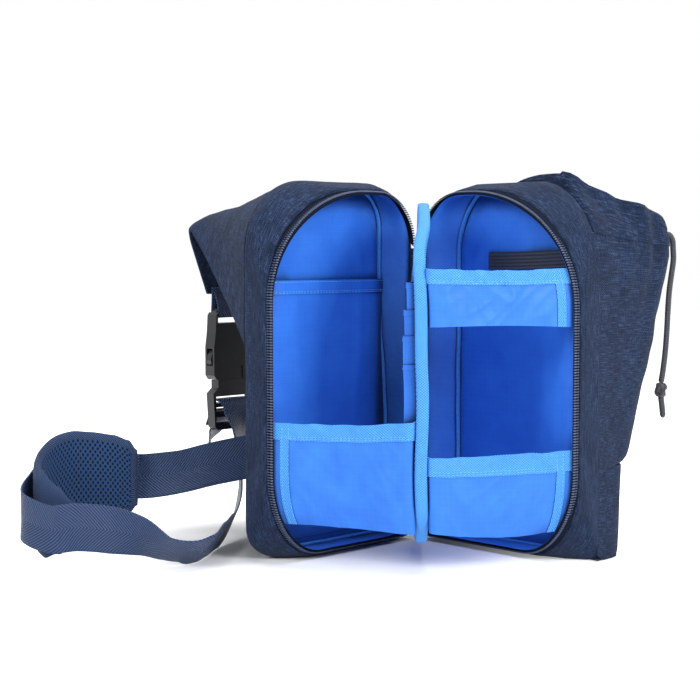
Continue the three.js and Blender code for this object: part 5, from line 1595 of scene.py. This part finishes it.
# ------------------------------------------------------------------ shoulder strap
# From the plug it hangs to the table, turns round the pad's left end, runs behind the pad
# and comes back to a patch low on the back of the bag.
up_way = (0, 0, 1)
FROM_BUCKLE = [((89, B + 2, 121.3), across), ((89, B - 3, 121.1), across), ((89, B - 7.5, 120), across),
               ((89, B - 13, 116), across), ((90, 138.5, 107), across), ((92, 137, 94), (0.9, -0.44, 0)),
               ((95, 135, 77), (0.75, -0.66, 0)), ((98, 132, 60), (0.66, -0.75, 0.05)),
               ((104, 125, 44), (0.6, -0.77, 0.2)), ((117, 113, 30), (0.5, -0.75, 0.42)),
               ((138, 96, 19), (0.42, -0.74, 0.52)), ((163, 78, 12), (0.39, -0.74, 0.54)),
               ((190, 58, 11), (0.42, -0.72, 0.54)), ((212, 46, 11), (0.47, -0.7, 0.53)),
               ((229, 45, 11), (0.5, -0.66, 0.56)), ((244, 54, 14), (0.44, -0.64, 0.62)),
               ((258, 70, 24), (0.22, -0.42, 0.88)), ((274, 90, 29), (0, -0.1, 0.99)),
               ((293, 112, 31), up_way)]
TO_ANCHOR = [((188.5, 161.5, 57), (-0.08, 0.08, 0.98)), ((164, 138, 61), (-0.3, 0.3, 0.9)),
             ((143, 118, 68), (-0.3, 0.3, 0.9)), ((118, 98, 74), (-0.28, 0.28, 0.92)),
             ((90, 76, 80), (-0.22, 0.22, 0.95)), ((68, 58, 85), (-0.1, 0.15, 0.98)),
             ((51, 44.5, 88), (0, 0.05, 1)), ((41, FACE + 3, 88.5), up_way),
             ((32, FACE + 1.3, 89), up_way), ((22, FACE + 1.1, 89.5), up_way),
             ((11, FACE + 1.1, 90), up_way)]
on_pad = []
for f in (0.1, 0.22, 0.36, 0.48, 0.6, 0.72, 0.84, 0.95):
    p, _, inw, _ = pad_frame(f)
    q = p - inw * (7.4 + 12 * step_up((0.38 - f) / 0.22))
    on_pad.append(((q.x, q.y, q.z - 4 * step_up((0.3 - f) / 0.2)), up_way))
ribbon("shoulder_strap_web", FROM_BUCKLE + on_pad + TO_ANCHOR, WEB, 6, "shoulder_strap")
# The free tail hangs from the plug's ladder, beside the strap.
TAIL = [((89, B - 1, BUCKLE_Z - 28), across), ((89, B + 4.4, BUCKLE_Z - 28.6), across),
        ((89, B + 8, BUCKLE_Z - 32), across), ((89.5, B + 13, BUCKLE_Z - 40), (1, -0.12, 0)),
        ((91, B + 18.5, BUCKLE_Z - 46), (0.95, -0.3, 0)),
        ((96, B + 20.5, BUCKLE_Z - 54), (0.75, -0.66, 0)),
        ((101, B + 18.5, BUCKLE_Z - 63), (0.66, -0.75, 0))]
ribbon("strap_tail_web", TAIL, WEB - 1, 4, "strap_tail")


# The patch that the strap's end is sewn under: 25 by 43 mm, low on the back by the hinge.
def patch(u, v):
    w, z = 4 + 25 * u, 68 + 43 * v
    rim = step_up(min(u, 1 - u) / 0.1) * step_up(min(v, 1 - v) / 0.07)
    return in_back(w, FACE + 2.2 + 0.9 * rim, z)


piece = cloth("anchor_patch_cloth", 16, 24, patch)
apply(piece, "SOLIDIFY", thickness=0.8 * MM, offset=0)
finish(piece, heather, "back_half", ["strap_anchor_patch"])


# ------------------------------------------------------------------ side-release buckle
# Socket, plug and two sprung prongs, moulded in black acetal with a fine spark-eroded
# grain and slightly rounded edges: satin, with small bright lines along the edges.
acetal, tree = material("moulded acetal")
spot = add(tree, "ShaderNodeTexCoord").outputs["Object"]
grain = add(tree, "ShaderNodeTexNoise", Vector=spot, Scale=1800.0, Detail=3.0)
cloud = add(tree, "ShaderNodeTexNoise", Vector=spot, Scale=60.0)
tone = add(tree, "ShaderNodeMix", {"data_type": "RGBA"}, i0=cloud.outputs["Fac"],
           i6=linear("#101114"), i7=linear("#1f2126"))
bump = add(tree, "ShaderNodeBump", Strength=0.25, Distance=0.0001, Height=grain.outputs["Fac"])
skin = add(tree, "ShaderNodeBsdfPrincipled", Base_Color=tone.outputs[2], Roughness=0.36, IOR=1.48,
           Normal=bump.outputs[0])
add(tree, "ShaderNodeOutputMaterial", Surface=skin.outputs[0])
for node, soft in (("buckle_socket", 0.8), ("buckle_plug", 0.5), ("buckle_prong_front", 0.6),
                   ("buckle_prong_spine", 0.6)):
    dress(node, acetal, soft)
